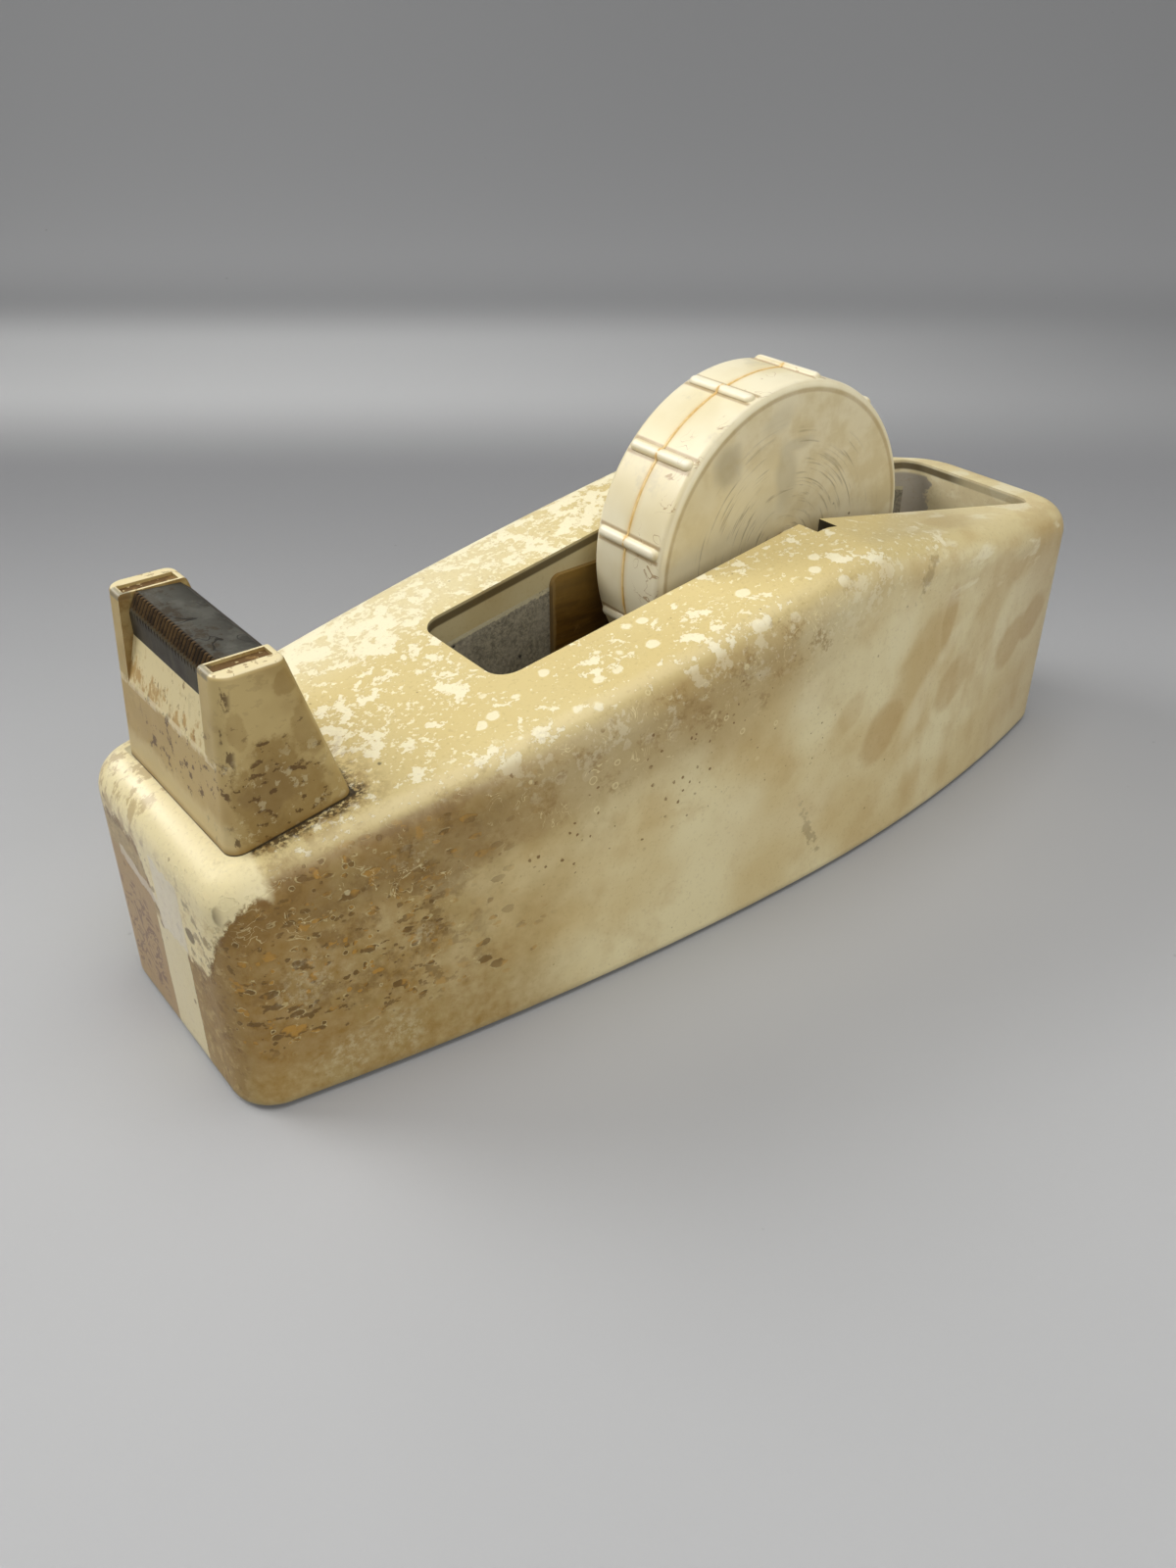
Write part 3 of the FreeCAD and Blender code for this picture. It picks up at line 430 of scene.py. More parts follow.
def nose_marks(g, colour, side):
    """The end of the nose: washed clean above, brown below, torn paper and old stains."""
    x, y, z = g.x, g.y, g.z
    front = g.facing[0].rise(-0.72, -0.94)
    ragged = (g.noise(6, 6, 0.68, seed=51) - 0.5) * 11
    nose = (x + ragged * 0.35).rise(-110.5, -113.5) * side
    colour = g.blend(nose * front * z.rise(52, 40) * 0.78, colour, "97783f")
    edge_z = 28 + y.rise(-2, 9) * 15 + y.rise(-19, -31) * 20
    over_edge = z - edge_z + ragged * 0.7
    washed = over_edge.rise(-0.4, 0.5) * (x + ragged * 0.35).rise(-110.5, -112.5) * (1 - y.rise(16, 26) * 0.6)
    colour = g.blend(washed * 0.92, colour, "efe0ae")
    rim = over_edge.size().rise(1.9, 0.3) * nose * g.noise(2.0, 4, 0.7, seed=52).rise(0.42, 0.54)
    colour = g.blend(rim * 0.9, colour, "7d5a20")
    streaks = g.noise(3.2, 5, 0.66, seed=53, stretch=(1, 1, 2.4)).rise(0.48, 0.58)
    streaks = streaks * y.band(4, 30, 3) * z.band(45, 60, 3) * x.rise(-106, -112)
    colour = g.blend(streaks * 0.5, colour, "9a7636")

    tear = (g.noise(3.2, 5, 0.66, seed=54) - 0.5) * 5
    scuffed = g.noise(2.6, 6, 0.7, seed=59).rise(0.50, 0.62) * nose * front * z.rise(50, 40)
    colour = g.blend(scuffed * 0.5, colour, "c7ad74")
    stained = g.noise(3.6, 6, 0.7, seed=50).rise(0.54, 0.62) * nose * front * z.rise(50, 40)
    colour = g.blend(stained * 0.6, colour, "74541c")
    patch = (y + tear * 0.15).rise(2.6, 3.4) * z.rise(37, 34.5) * front
    colour = g.blend(patch * 0.85, colour, "a98753")
    strip = (y + tear * 0.25).band(-10.8, 2.6, 0.3) * z.rise(30, 28) * front
    colour = g.blend(strip * 0.9, colour, "e6d8ac")
    white = (y + tear * 0.3).band(-11.5, 0.2, 0.3) * (z + tear).band(28.4, 43.4, 0.4) * front
    flag = (y + tear * 0.6).band(0, 17, 0.4) * (z - y * 0.20 + tear * 0.8).band(31.6, 34.0, 0.3) * front
    paper = white.most(flag * 0.85)
    colour = g.blend(paper * (0.7 + tear * 0.08), colour, PAPER)
    marks = g.threads(8, 0.050, seed=55, warp=2.2) * g.noise(4, 3, 0.6, seed=56).rise(0.40, 0.50)
    colour = g.blend(marks * patch * y.band(7, 21, 2) * z.band(7, 28, 3) * 0.85, colour, RUST)
    spot, _ = g.spots(4.2, 0.42, seed=57, small=0.05, large=0.24, ragged=0.24)
    colour = g.blend(spot * front * (1 - paper) * z.rise(56, 46) * 0.65, colour, "7a5120")
    chips = blots(y, z, NOSE_CHIPS, tear * 0.2, 0.2)
    return g.blend(chips * front * 0.8, colour, "5e4319"), washed, paper


def well_lip(g, colour):
    """The lip turned down inside the well, with a band of painted shade under its rim, and painted shade on
    the walls of the axle's near notch.
    """
    x, y, z, up = g.x, g.y, g.z, g.up
    within = x.band(WELL_FRONT_X - 0.6, WELL_REAR_X + 0.6, 0.1) * y.size().rise(21.5, 20.5)
    inside = within * up.size().rise(0.5, 0.2)
    colour = g.blend(inside * x.rise(70, 40) * 0.62, colour, "978a66")
    colour = g.blend(inside * x.rise(60, 80) * 0.5, colour, "efe4c0")
    below = roof_height(g) - z
    cement = inside * x.rise(30, 50) * (y + (g.noise(4, 4, 0.6, seed=58) - 0.5) * 8).rise(13, 14)
    colour = g.blend(cement * below.rise(3.0, 3.8) * 0.85, colour, "a39c92")
    # painted shade: a dark band just under the rim, stronger on the far side
    shade = below.band(0.9, 2.2, 0.5) * inside
    colour = g.blend(shade * (0.35 + y.rise(0, 8) * 0.5), colour, "453619")
    # painted shade: the walls of the axle's near notch nearly black
    across = (x - AXLE_X).size()
    notch = across.rise(NOTCH_HALF_WIDTH + 0.2, NOTCH_HALF_WIDTH - 0.2) * g.facing[0].size().rise(0.5, 0.8)
    return g.blend(notch * y.band(-23, -14.6, 0.2) * 0.95, colour, "120e07")


def body_paint():
    g = Graph("aged_paint_body")
    fine = g.noise(2.4, 4, 0.6, seed=3)
    grit = g.noise(0.8, 3, 0.6, seed=4)
    top = g.up.rise(0.45, 0.8)
    side = 1 - top
    colour = paint_film(g, top, side)
    colour, pale = roof_flecks(g, colour, top, grit)
    colour, grime, pits, rims = nose_grime(g, colour, side, fine, grit)
    colour = shoulder_wear(g, colour, side, grit)
    colour, runs = tail_runs(g, colour, side, top, fine)
    colour, dirt = foot_dirt(g, colour, top, grit)
    colour, washed, paper = nose_marks(g, colour, side)
    colour = well_lip(g, colour)
    # painted shade: darker along the bottom edge, next to the floor
    colour = g.blend(g.z.rise(3.0, 1.0) * 0.5, colour, "8f8564")
    colour = g.blend(grit.rise(0.54, 0.72) * 0.16, colour, BROWN)
    rough = 0.30 + pale * 0.14 + grime * 0.14 + dirt * 0.25 - washed * 0.04 + grit * 0.10
    height = pale * 0.45 + grit * 0.18 + fine * 0.16 + rims * 0.5 - pits * 0.5 + paper * 0.8 \
        + dirt * fine * 0.6 - runs * 0.12
    return g.finish(colour, rough, height, depth=0.09)


# ---------------------------------------------------------------- cutter post and blade

POST_CREASE_Z = 70.0
EAR_INNER_Y = 16.4
TOOTH_PITCH = 1.25

# worn brown areas on the post's cheeks: (x, z), (half length, half height), tilt, strength
CHEEK_STAINS = (
    ((-104.5, 62.0), (8.6, 10.5), 0, 1.0),
    ((-97.0, 74.0), (3.4, 6.5), 8, 0.7),
    ((-100.5, 83.0), (2.4, 2.6), 0, 0.7),
    ((-110.0, 77.0), (1.6, 4.0), 0, 0.5),
)


def post_cheeks(g, colour, cheek, patches, fine):
    """Brown worn areas with dark chips and pale scratches on the post's two cheeks."""
    x, z = g.x, g.z
    wobble = (patches - 0.5) * 1.9
    worn = blots(x, z, CHEEK_STAINS, wobble, 0.14) * cheek
    colour = g.blend(worn * (0.45 + fine * 0.40), colour, "8a6c30")
    heart = blot(x, z, (-105.5, 64.0), (4.6, 5.0), 0, wobble * 1.3, 0.3) * cheek
    colour = g.blend(heart * 0.4, colour, "6d4f1f")
    dark_chip = g.noise(1.9, 6, 0.62, seed=64, stretch=(1.5, 1, 0.9)).rise(0.590, 0.606)
    colour = g.blend(dark_chip * worn.most(0.15) * cheek * 0.9, colour, "5c3f12")
    pale_chip = g.noise(2.6, 6, 0.66, seed=65).rise(0.575, 0.600)
    colour = g.blend(pale_chip * cheek * z.rise(74, 68) * 0.45, colour, "cfc095")
    return colour, worn


def post_front(g, colour, patches):
    """The bright slope under the blade, the speckled face below its crease and a painted highlight along the
    crease.
    """
    y, z = g.y, g.z
    front = g.facing[0].rise(-0.3, -0.8)
    above = z.rise(POST_CREASE_Z - 0.4, POST_CREASE_Z + 0.6)
    slope = front * above * y.size().rise(EAR_INNER_Y + 0.2, EAR_INNER_Y - 0.1)
    face = front * (1 - above)
    colour = g.blend(slope, colour, "ddcc9a")
    run_down = g.noise(2.8, 6, 0.66, seed=60, stretch=(1, 1, 1.8))
    stain = (run_down + z.rise(79, 70.5) * 0.14 + y.rise(-4, 10) * 0.02).rise(0.60, 0.72) * slope
    colour = g.blend(stain * 0.85, colour, "b28a44")
    flecks = g.noise(1.8, 6, 0.7, seed=61, stretch=(1, 1, 1.8)).rise(0.60, 0.64) * slope
    colour = g.blend(flecks * 0.7, colour, "7b5420")
    colour = g.blend(face * (0.35 + patches * 0.5), colour, "b99c62")
    speck = g.noise(2.2, 6, 0.66, seed=62).rise(0.575, 0.605)
    near_crease = z.band(60, 69.6, 2.5) * y.rise(14, 8)
    near_corner = (y + 16.4).size().rise(3.4, 1.2) * z.rise(78, 72)
    colour = g.blend(speck * front * near_crease.most(near_corner).most(0.12) * 0.9, colour, "5d3f16")
    low = (z + (patches - 0.5) * 7).rise(60.5, 57.5) * face
    colour = g.blend(low * 0.5, colour, "dccb98")
    # painted highlight along the crease
    edge = z.band(POST_CREASE_Z - 0.5, POST_CREASE_Z + 0.7, 0.3) * front
    colour = g.blend(edge * run_down.rise(0.40, 0.55) * 0.4, colour, IVORY)
    chips = g.noise(3.0, 5, 0.62, seed=63, stretch=(1, 1, 2.2)).rise(0.55, 0.60)
    corner = (y.size() - 22.4).size().rise(1.4, 0.5) * g.facing[0].rise(-0.2, -0.5)
    return g.blend(chips * corner * 0.85, colour, "59401a")


def ear_tops(g, colour, fine):
    """Worn recesses, cream rims and bare metal on top of the post's two ears."""
    x, y, z = g.x, g.y, g.z
    top = g.up.rise(0.6, 0.85) * z.rise(84, 85)
    worn = g.noise(3.4, 5, 0.62, seed=66)
    recess = top * z.rise(86.75, 86.5)
    colour = g.blend(top * (1 - recess), colour, "e9d9aa")
    colour = g.blend(top * (1 - recess) * fine.rise(0.58, 0.62) * 0.6, colour, "8e6c34")
    brown = (worn + x.rise(-98, -109) * 0.10).rise(0.44, 0.54) * recess
    colour = g.blend(recess * 0.9, colour, "7d5c28")
    colour = g.blend(brown * 0.9, colour, "5f4215")
    flake = g.noise(1.3, 4, 0.6, seed=67).rise(0.62, 0.64) * recess
    colour = g.blend(flake * 0.8, colour, "d9c894")
    inner_edge = (y.size() - EAR_INNER_Y - 0.3).size().rise(0.9, 0.5) * x.rise(-109.6, -110.4)
    front_edge = x.rise(-111.0, -111.6) * y.size().rise(20.6, 19.8)
    bare = inner_edge.most(front_edge) * z.rise(85.6, 86.1) * (worn + 0.06).rise(0.46, 0.52)
    colour = g.blend(bare * 0.7, colour, "6c675a")
    inner = g.facing[1].size().rise(0.8, 0.95) * y.size().rise(EAR_INNER_Y + 0.8, EAR_INNER_Y + 0.4)
    colour = g.blend(inner * worn.rise(0.40, 0.58) * 0.75, colour, "8c6a30")
    line = inner * x.rise(-107.5, -111) * z.band(71, 86, 1)
    return g.blend(line * 0.5, colour, "5e431a"), bare, recess


def post_paint():
    g = Graph("aged_paint_post")
    clouds = g.noise(14, 3, 0.5, seed=68)
    patches = g.noise(6, 6, 0.66, seed=69)
    fine = g.noise(1.6, 4, 0.6, seed=70)
    cheek = g.facing[1].size().rise(0.6, 0.9)
    colour = g.blend(clouds.rise(0.38, 0.66), "c0a86e", "a78d54")
    colour = post_front(g, colour, patches)
    colour, worn = post_cheeks(g, colour, cheek, patches, fine)
    colour, bare, recess = ear_tops(g, colour, fine)
    foot = g.z - roof_height(g)
    colour = g.blend(foot.rise(1.8, 0.2) * (0.3 + patches * 0.9), colour, BROWN)
    colour = g.blend(foot.rise(0.5, 0.1) * 0.9, colour, "241a09")
    rough = 0.40 + worn * 0.15 + recess * 0.3 + fine * 0.1
    height = fine * 0.3 + patches * 0.3 - worn * 0.25 - bare * 0.6 - recess * fine * 0.6
    return g.finish(colour, rough, height, depth=0.10)


def blade_metal():
    g = Graph("blade_steel")
    x, y, z = g.x, g.y, g.z
    streak = g.noise(3.0, 4, 0.6, seed=81, stretch=(2, 1.0, 2.4))
    mottle = g.noise(3.0, 6, 0.7, seed=82)
    fine = g.noise(0.7, 3, 0.6, seed=83)
    landing = g.up.rise(0.8, 0.95) * x.rise(-108.9, -108.5)
    colour = g.blend(streak.rise(0.38, 0.64), "352e22", "4a4333")
    # painted sheen on the front of the landing and painted shade darkening towards its rounded rear
    landing_sheen_and_shade = g.blend(x.rise(-105, -99), "504e45", "2f2c24")
    colour = g.blend(landing, colour, landing_sheen_and_shade)
    freckle = (g.noise(1.4, 5, 0.66, seed=86) + x.rise(-103, -108.5) * 0.12).rise(0.56, 0.63)
    colour = g.blend(landing * freckle * 0.7, colour, "3a2c14")
    smear = g.noise(5, 4, 0.6, seed=84).rise(0.5, 0.62) * landing
    colour = g.blend(smear * 0.30, colour, "77756b")
    crack = g.threads(13, 0.010, seed=85, warp=0.8) * landing * y.band(-12, 6, 2)
    colour = g.blend(crack * 0.8, colour, "18130a")

    # the serration: worn olive tips with painted shade in the gaps between them, above a thin bright line
    beat = y / TOOTH_PITCH
    gap = (beat - g.math("ROUND", beat)).size().rise(0.34, 0.16)
    ahead = x.rise(-108.6, -108.9)
    bevel = ahead * z.rise(84.1, 84.5)
    colour = g.blend(bevel, colour, g.blend(mottle.rise(0.42, 0.6), "5b4422", "3c2b12"))
    # painted shade in the gaps between the teeth
    colour = g.blend(bevel * gap * 0.9, colour, "120d06")
    foot = z.band(84.0, 84.35, 0.15) * ahead
    colour = g.blend(foot * 0.5, colour, "6a5d43")
    rough = 0.42 + mottle * 0.25 + bevel * 0.15
    height = fine * 0.3 + mottle * 0.5 - crack - bevel * gap
    return g.finish(colour, rough, height, depth=0.05, metal=0.2, specular=0.4)


# ---------------------------------------------------------------- hub

HUB_RADIUS, HUB_SHOULDER = 37.3, 1.6
RIB_COUNT, RIB_PHASE, RIB_RADIUS, RIB_PROUD = 12, 18.5, 1.5, 1.0
GLUE_Y = 0.7
# how the glue line wanders from side to side round the hub: (reach, waves per turn, start in radians)
GLUE_WAVES = ((0.45, 2, 0.6), (0.22, 5, 2.1))

# grey smudges on the hub's faces: (x, z), (half length, half width), tilt, strength
HUB_SMUDGES = (
    ((8.0, 91.5), (3.6, 4.0), 0, 1.0),
    ((25.5, 86.0), (3.0, 6.5), 8, 0.7),
    ((28.0, 92.0), (5.0, 1.4), 5, 0.6),
    ((22.0, 98.0), (4.0, 2.4), 20, 0.4),
)


def hub_plastic():
    g = Graph("hub_plastic")
    x, y, z = g.x - AXLE_X, g.y, g.z - AXLE_Z
    clouds = g.noise(20, 3, 0.5, seed=91)
    mottle = g.noise(7, 5, 0.6, seed=92)
    fine = g.noise(1.2, 3, 0.55, seed=93)
    radius = (x * x + z * z) ** 0.5
    turn = g.math("ARCTAN2", z, x)
    face = g.facing[1].size().rise(0.5, 0.85)
    rim = 1 - face
    colour = g.blend(clouds.rise(0.38, 0.66), "f1e7c6", "e6d8ae")
    colour = g.blend(face * (0.25 + mottle.rise(0.40, 0.66) * 0.45), colour, "d2be8a")

    # painted light: a paler patch on the faces, in front of the axle
    light = blot(g.x, g.z, (10.0, 76.0), (17.0, 10.0), 20, (clouds - 0.5) * 1.2, 0.5)
    colour = g.blend(light * face * 0.55, colour, "f3e5b8")

    # rubbed arcs round the axle, smudges and specks on the faces
    arcs = g.noise(1.0, 4, 0.6, seed=94, at=g.join(radius * 1.3, turn * 1.2, y * 0.2))
    sweep = g.noise(9, 2, 0.5, seed=95).rise(0.42, 0.58)
    rubbed = arcs.rise(0.53, 0.66) * radius.band(7, 24, 8) * sweep * face
    colour = g.blend(rubbed * 0.48, colour, "7d6a45")
    shade = (mottle - 0.5) * 1.4
    smudged = blots(g.x, g.z, HUB_SMUDGES, shade, 0.5)
    colour = g.blend(smudged * face * 0.40, colour, "85785a")
    specks, _ = g.spots(6, 0.30, seed=96, small=0.02, large=0.09)
    colour = g.blend(specks * 0.75, colour, "4c3d20")

    # grey smears and faint brown outlines on the rim
    smear = g.noise(8, 4, 0.6, seed=97).rise(0.56, 0.70) * rim
    colour = g.blend(smear * 0.28, colour, "a79f8a")
    outline = g.threads(6, 0.012, seed=98, warp=1.4) * rim * y.rise(-1.5, -4)
    colour = g.blend(outline * g.noise(8, 1, 0.5, seed=99).rise(0.47, 0.55) * 0.7, colour, "a98452")

    # glue soaked in beside the seam
    drift = sum(g.math("SINE", turn * waves + start) * reach for reach, waves, start in GLUE_WAVES)
    off = (y - GLUE_Y - drift).size()
    colour = g.blend(off.rise(1.8, 0.3) * rim * 0.22, colour, "dcb468")
    colour = g.blend(off.rise(0.70, 0.25) * rim * 0.6, colour, "deb869")

    # painted shade where each rib meets the rim, a paler worn crest and a painted highlight along the
    # shoulder
    step = 2 * math.pi / RIB_COUNT
    phase = (turn - math.radians(RIB_PHASE)) / step
    nearest = (phase - g.math("ROUND", phase)).size() * (step * HUB_RADIUS)
    # painted shade along the foot of each rib
    beside = (nearest - 1.6).size().rise(0.75, 0.15) * rim * y.size().rise(10.2, 9.4)
    low = radius.rise(HUB_RADIUS + 0.35, HUB_RADIUS + 0.1) * radius.rise(HUB_RADIUS - 1.0, HUB_RADIUS - 0.5)
    colour = g.blend(beside * low * (0.35 + mottle * 0.6), colour, "98753f")
    crest = radius.rise(HUB_RADIUS + 0.65, HUB_RADIUS + 0.9)
    colour = g.blend(crest * 0.6, colour, "fbf4dc")
    # painted highlight along the shoulder of the faces
    corner = (radius - HUB_RADIUS + HUB_SHOULDER * 0.6).size()
    colour = g.blend(corner.rise(0.8, 0.2) * face * 0.55, colour, "fbf2cf")
    groove = (radius - HUB_RADIUS + HUB_SHOULDER * 1.3).size()
    colour = g.blend(groove.rise(0.7, 0.2) * face * (0.2 + mottle * 0.5), colour, "a98d58")
    rough = 0.33 + mottle * 0.14 + smudged * 0.15
    height = fine * 0.10 + clouds * 0.5 + arcs * face * 0.12 + off.rise(0.6, 0.2) * rim * 0.5
    return g.finish(colour, rough, height, depth=0.10)


# ---------------------------------------------------------------- ballast, panels, metal, rubber

LIP_DEPTH = 7.4


def ballast_stone():
    g = Graph("ballast_stone")
    grains = g.noise(0.9, 6, 0.75, seed=101)
    lumps = g.noise(9, 4, 0.6, seed=102)
    colour = g.blend(grains.rise(0.35, 0.65), "6e6858", "a19982")
    colour = g.blend(lumps.rise(0.4, 0.65) * 0.35, colour, "a79f8c")
    void, _ = g.spots(3.0, 0.55, seed=103, small=0.04, large=0.18, ragged=0.22)
    colour = g.blend(void * 0.85, colour, "1f1c16")
    # paint that ran over its edge under the lip
    under = roof_height(g) - g.z - LIP_DEPTH
    ragged = (g.noise(1.6, 5, 0.7, seed=104) - 0.5) * 1.6
    spill = (under + ragged).rise(1.2, 0.9)
    colour = g.blend(spill * 0.9, colour, "c4ba97")
    dusty = g.x.rise(30, 80)
    colour = g.blend(dusty * lumps.rise(0.42, 0.60) * 0.5, colour, "9d9184")
    height = grains * 1.0 + lumps * 0.8 - void * 1.6
    return g.finish(colour, 0.88, height, depth=0.35, specular=0.3)


def brown_fibre():
    g = Graph("brown_fibre")
    grain = g.noise(5, 5, 0.6, seed=81, stretch=(3.5, 1, 0.5))
    wear = g.noise(3, 5, 0.65, seed=82)
    colour = g.blend(grain.rise(0.36, 0.64), "4a300c", "6d4d18")
    colour = g.blend((g.z + wear * 8).rise(56, 68) * 0.5, colour, "8f7338")
    colour = g.blend(wear.rise(0.58, 0.68) * 0.4, colour, "8a6a38")
    # painted highlight along the front edge
    edge = (g.x + 18.8 + (wear - 0.5) * 1.6).rise(1.0, 0.5)
    colour = g.blend(edge * 0.6, colour, "8c7347")
    return g.finish(colour, 0.30 + wear * 0.2, grain * 0.6 + wear * 0.4, depth=0.06, coat=0.2)


def sheet_steel(name, dark, light, seed, metal=0.9, rough=0.38):
    """Dull plated or rolled steel with fine drawn streaks and spots of tarnish."""
    g = Graph(name)
    streak = g.noise(1.2, 4, 0.6, seed=seed, stretch=(6, 0.5, 0.5))
    tarnish = g.noise(4, 5, 0.66, seed=seed + 1)
    colour = g.blend(streak.rise(0.35, 0.65), dark, light)
    colour = g.blend(tarnish.rise(0.54, 0.68) * 0.6, colour, "5a4a33")
    relief = streak * 0.5 + tarnish * 0.5
    return g.finish(colour, tarnish * 0.3 + rough - 0.1, relief, depth=0.03, metal=metal)


def pad_rubber():
    g = Graph("pad_rubber")
    tooth = g.noise(0.6, 4, 0.65, seed=91)
    dust = g.noise(7, 5, 0.65, seed=92)
    colour = g.blend(dust.rise(0.5, 0.72) * 0.5, "17171a", "5b5750")
    return g.finish(colour, 0.82 - dust * 0.1, tooth, depth=0.12, specular=0.3)


def spacer_plastic():
    g = Graph("spacer_plastic")
    dirt = g.noise(2.2, 5, 0.65, seed=95)
    fine = g.noise(0.5, 3, 0.5, seed=96)
    colour = g.blend(dirt.rise(0.45, 0.66) * 0.7, "d9cba0", "8f7746")
    return g.finish(colour, 0.42 + dirt * 0.2, fine, depth=0.03)


def sleeve_brass():
    g = Graph("sleeve_brass")
    drawn = g.noise(0.8, 4, 0.6, seed=97, stretch=(0.6, 7, 0.6))
    dull = g.noise(3, 4, 0.6, seed=98)
    colour = g.blend(drawn.rise(0.35, 0.65), "8b6a2c", "b08d47")
    colour = g.blend(dull.rise(0.5, 0.66) * 0.5, colour, "5c451d")
    return g.finish(colour, 0.3 + dull * 0.25, drawn, depth=0.02, metal=1.0)


# ---------------------------------------------------------------- glue bead on the hub's seam

BEAD_STEPS, BEAD_SIDES = 720, 6


def rib_swell(turn):
    """How far the hub's surface stands above its rim at this angle, from its round-topped ribs."""
    step = 2 * math.pi / RIB_COUNT
    phase = (turn - math.radians(RIB_PHASE)) / step
    off = abs(phase - round(phase)) * step * HUB_RADIUS
    if off >= RIB_RADIUS:
        return 0.0
    return max(0.0, math.sqrt(RIB_RADIUS ** 2 - off ** 2) - (RIB_RADIUS - RIB_PROUD))


def glue_bead():
    """A thin uneven line of old glue round the hub's seam, over the ribs, no higher than the hub itself."""
    mesh = bmesh.new()
    ceiling = CAD_BOX[1][2] / MM - 0.02
    rings = []
    for i in range(BEAD_STEPS):
        turn = 2 * math.pi * i / BEAD_STEPS
        thick = 0.5 + 0.5 * noise.noise(Vector((math.cos(turn) * 9, math.sin(turn) * 9, 9.7)))
        across, rise = 0.16 + 0.30 * thick, 0.06 + 0.07 * thick
        radius = min(HUB_RADIUS + rib_swell(turn), HUB_RADIUS + RIB_PROUD - rise)
        drift = sum(reach * math.sin(waves * turn + start) for reach, waves, start in GLUE_WAVES)
        ring = []
        for k in range(BEAD_SIDES):
            a = 2 * math.pi * k / BEAD_SIDES
            r = radius + rise * math.sin(a)
            y = GLUE_Y + drift + across * math.cos(a)
            z = min(AXLE_Z + r * math.sin(turn), ceiling)
            point = Vector((AXLE_X + r * math.cos(turn), y, z))
            ring.append(mesh.verts.new(point * MM))
        rings.append(ring)
    for i in range(BEAD_STEPS):
        here, after = rings[i], rings[(i + 1) % BEAD_STEPS]
        for k in range(BEAD_SIDES):
            after_k = (k + 1) % BEAD_SIDES
            mesh.faces.new((here[k], here[after_k], after[after_k], after[k]))
    bmesh.ops.recalc_face_normals(mesh, faces=mesh.faces)
    data = bpy.data.meshes.new("seam_glue")
    mesh.to_mesh(data)
    mesh.free()
    data.shade_smooth()
    bead = bpy.data.objects.new("seam_glue", data)
    bpy.context.scene.collection.objects.link(bead)
    g = Graph("aged_glue")
    amber = g.noise(3, 4, 0.6, seed=151)
    colour = g.blend(amber.rise(0.35, 0.62), "f2d493", "deb466")
    data.materials.append(g.finish(colour, 0.3 + amber * 0.2, amber, depth=0.05))
    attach(bead, "hub")


# ---------------------------------------------------------------- floor, lights, camera

CAMERA_PLACE = (-177.68, -200.85, 187.16)
CAMERA_YAW, CAMERA_PITCH, CAMERA_ROLL = 51.904, 33.438, -0.127
CAMERA_LENS = 30.32

# the sheet's side profile in metres: flat from front to bend, then a sweep up and a straight rise behind
SHEET_FRONT, SHEET_BEND, SHEET_HALF_WIDTH = -3.0, 0.50, 3.0
SWEEP_RADIUS, SWEEP_ANGLE, SWEEP_STEPS = 0.75, 78, 32


def camera():
    """The photograph's viewpoint. Yaw is the heading from +X towards +Y, pitch is downwards."""
    yaw, pitch, roll = (math.radians(a) for a in (CAMERA_YAW, CAMERA_PITCH, CAMERA_ROLL))
    ahead = Vector((math.cos(pitch) * math.cos(yaw), math.cos(pitch) * math.sin(yaw), -math.sin(pitch)))
    right = Vector((math.sin(yaw), -math.cos(yaw), 0))
    up = right.cross(ahead)
    tilt = Matrix.Rotation(roll, 3, ahead)
    turn = Matrix((tilt @ right, tilt @ up, -ahead)).transposed()
    data = bpy.data.cameras.new("camera")
    data.lens = CAMERA_LENS
    data.sensor_width = 36.0
    data.clip_start = 0.01
    data.clip_end = 20.0
    obj = bpy.data.objects.new("camera", data)
    obj.matrix_world = Matrix.Translation(Vector(CAMERA_PLACE) * MM) @ turn.to_4x4()
    bpy.context.scene.collection.objects.link(obj)
    bpy.context.scene.camera = obj


def sheet_paper():
    """Plain pale grey with painted light: painted shade makes it darker behind the object, and painted
    highlights make it brighter again where the sheet starts to rise.
    """
    g = Graph("studio_sheet")
    mottle = g.noise(180, 3, 0.5, seed=111)
    tooth = g.noise(0.9, 3, 0.6, seed=112)
    dust, _ = g.spots(19, 0.55, seed=113, small=0.008, large=0.036)
    colour = g.blend(mottle.rise(0.3, 0.7), "b0b0b0", "b5b5b5")
    yaw = math.radians(CAMERA_YAW)
    run = g.x * math.cos(yaw) + g.y * math.sin(yaw)
    aside = g.x * math.sin(yaw) - g.y * math.cos(yaw)
    # painted shade darker with distance, a painted highlight band at the bend, stronger on the left, and
    # painted light on the rise
    colour = g.blend(run.rise(-80, 260) * 0.85, colour, "868687")
    colour = g.blend(run.band(350, 430, 110) * aside.rise(520, -260) * 0.9, colour, "cfcfce")
    colour = g.blend(run.rise(430, 620) * (0.55 + aside.rise(100, -500) * 0.4), colour, "bdbdbd")
    colour = g.blend(dust * 0.6, colour, "6a6864")
    return g.finish(colour, 0.55, tooth, depth=0.02, specular=0.35)


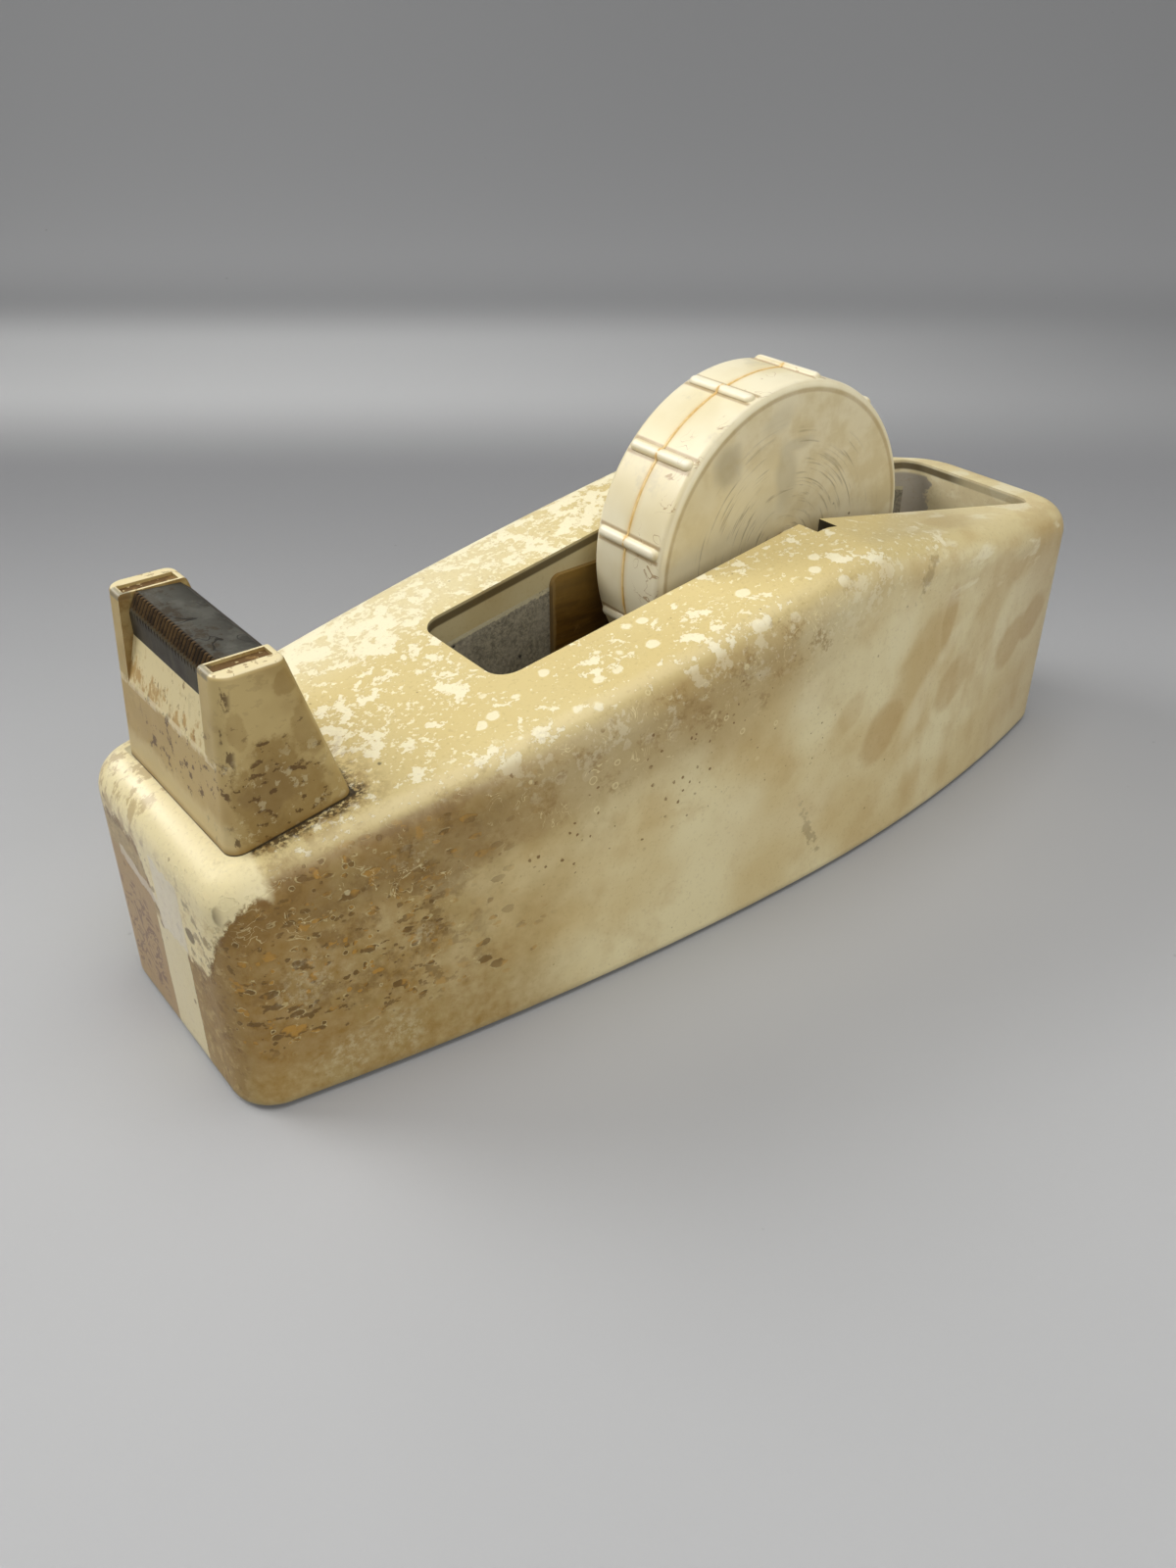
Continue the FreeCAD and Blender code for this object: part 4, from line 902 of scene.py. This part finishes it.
def floor():
    """A pale sheet that lies flat round the object and sweeps up behind it."""
    yaw = math.radians(CAMERA_YAW)
    ahead = Vector((math.cos(yaw), math.sin(yaw), 0))
    across = Vector((ahead.y, -ahead.x, 0))
    profile = [(SHEET_FRONT, 0.0), (0.0, 0.0), (SHEET_BEND, 0.0)]
    for i in range(1, SWEEP_STEPS + 1):
        a = math.radians(SWEEP_ANGLE) * i / SWEEP_STEPS
        profile.append((SHEET_BEND + SWEEP_RADIUS * math.sin(a), SWEEP_RADIUS * (1 - math.cos(a))))
    last = profile[-1]
    profile.append((last[0] + 0.25, last[1] + 1.2))
    mesh = bmesh.new()
    rows = []
    for distance, height in profile:
        middle = ahead * distance + Vector((0, 0, height))
        rows.append([mesh.verts.new(middle + across * w) for w in (-SHEET_HALF_WIDTH, SHEET_HALF_WIDTH)])
    for low, high in zip(rows, rows[1:]):
        mesh.faces.new((low[0], low[1], high[1], high[0]))
    bmesh.ops.recalc_face_normals(mesh, faces=mesh.faces)
    data = bpy.data.meshes.new("floor")
    mesh.to_mesh(data)
    mesh.free()
    data.shade_smooth()
    data.materials.append(sheet_paper())
    sheet = bpy.data.objects.new("floor", data)
    bpy.context.scene.collection.objects.link(sheet)


def softbox(name, place, target, width, height, power, spread=180.0):
    """A rectangular light at place that faces target. spread is the angle of its beam in degrees."""
    data = bpy.data.lights.new(name, "AREA")
    data.shape = "RECTANGLE"
    data.size = width
    data.size_y = height
    data.energy = power
    data.spread = math.radians(spread)
    obj = bpy.data.objects.new(name, data)
    obj.location = place
    obj.rotation_mode = "QUATERNION"
    obj.rotation_quaternion = (Vector(target) - Vector(place)).to_track_quat("-Z", "Y")
    bpy.context.scene.collection.objects.link(obj)


def lights():
    softbox("overhead", (0.03, -0.12, 1.05), (0.0, -0.04, 0.0), width=0.8, height=0.8, power=6.0)
    softbox("back_left", (-0.55, 0.85, 0.75), (0.0, 0.0, 0.05), width=0.8, height=0.5, power=1.1, spread=50.0)
    softbox("fill", (-0.28, -0.95, 0.55), (0.0, 0.0, 0.05), width=0.8, height=0.6, power=3.6)
    world = bpy.data.worlds.new("studio")
    world.use_nodes = True
    background = world.node_tree.nodes["Background"]
    background.inputs["Color"].default_value = (0.97, 0.98, 1.0, 1.0)
    background.inputs["Strength"].default_value = 0.23
    bpy.context.scene.world = world
    bpy.context.scene.view_settings.view_transform = "Standard"


# ---------------------------------------------------------------- put together

def dress(material, *names):
    """Gives CAD nodes their material."""
    for name in names:
        slots = NODES[name].data.materials
        slots.clear()
        slots.append(material)


def main():
    dress(body_paint(), "body_shell")
    dress(post_paint(), "cutter_post")
    dress(blade_metal(), "cutter_blade")
    dress(hub_plastic(), "hub_half_left", "hub_half_right")
    dress(ballast_stone(), "ballast_fill")
    dress(brown_fibre(), "side_guide_left", "side_guide_right")
    dress(sheet_steel("plate_steel", "55534d", "77746b", 121), "base_plate")
    dress(sheet_steel("fastener_steel", "6a675f", "8d897e", 131, rough=0.42),
          "base_screws", "blade_screws", "post_screws", "post_washers")
    dress(sheet_steel("axle_steel", "5f5d57", "8b8880", 141, rough=0.32), "axle")
    dress(pad_rubber(), "base_pad")
    dress(spacer_plastic(), "axle_spacer_left", "axle_spacer_right")
    dress(sleeve_brass(), "hub_sleeve")
    glue_bead()
    floor()
    lights()
    camera()


main()
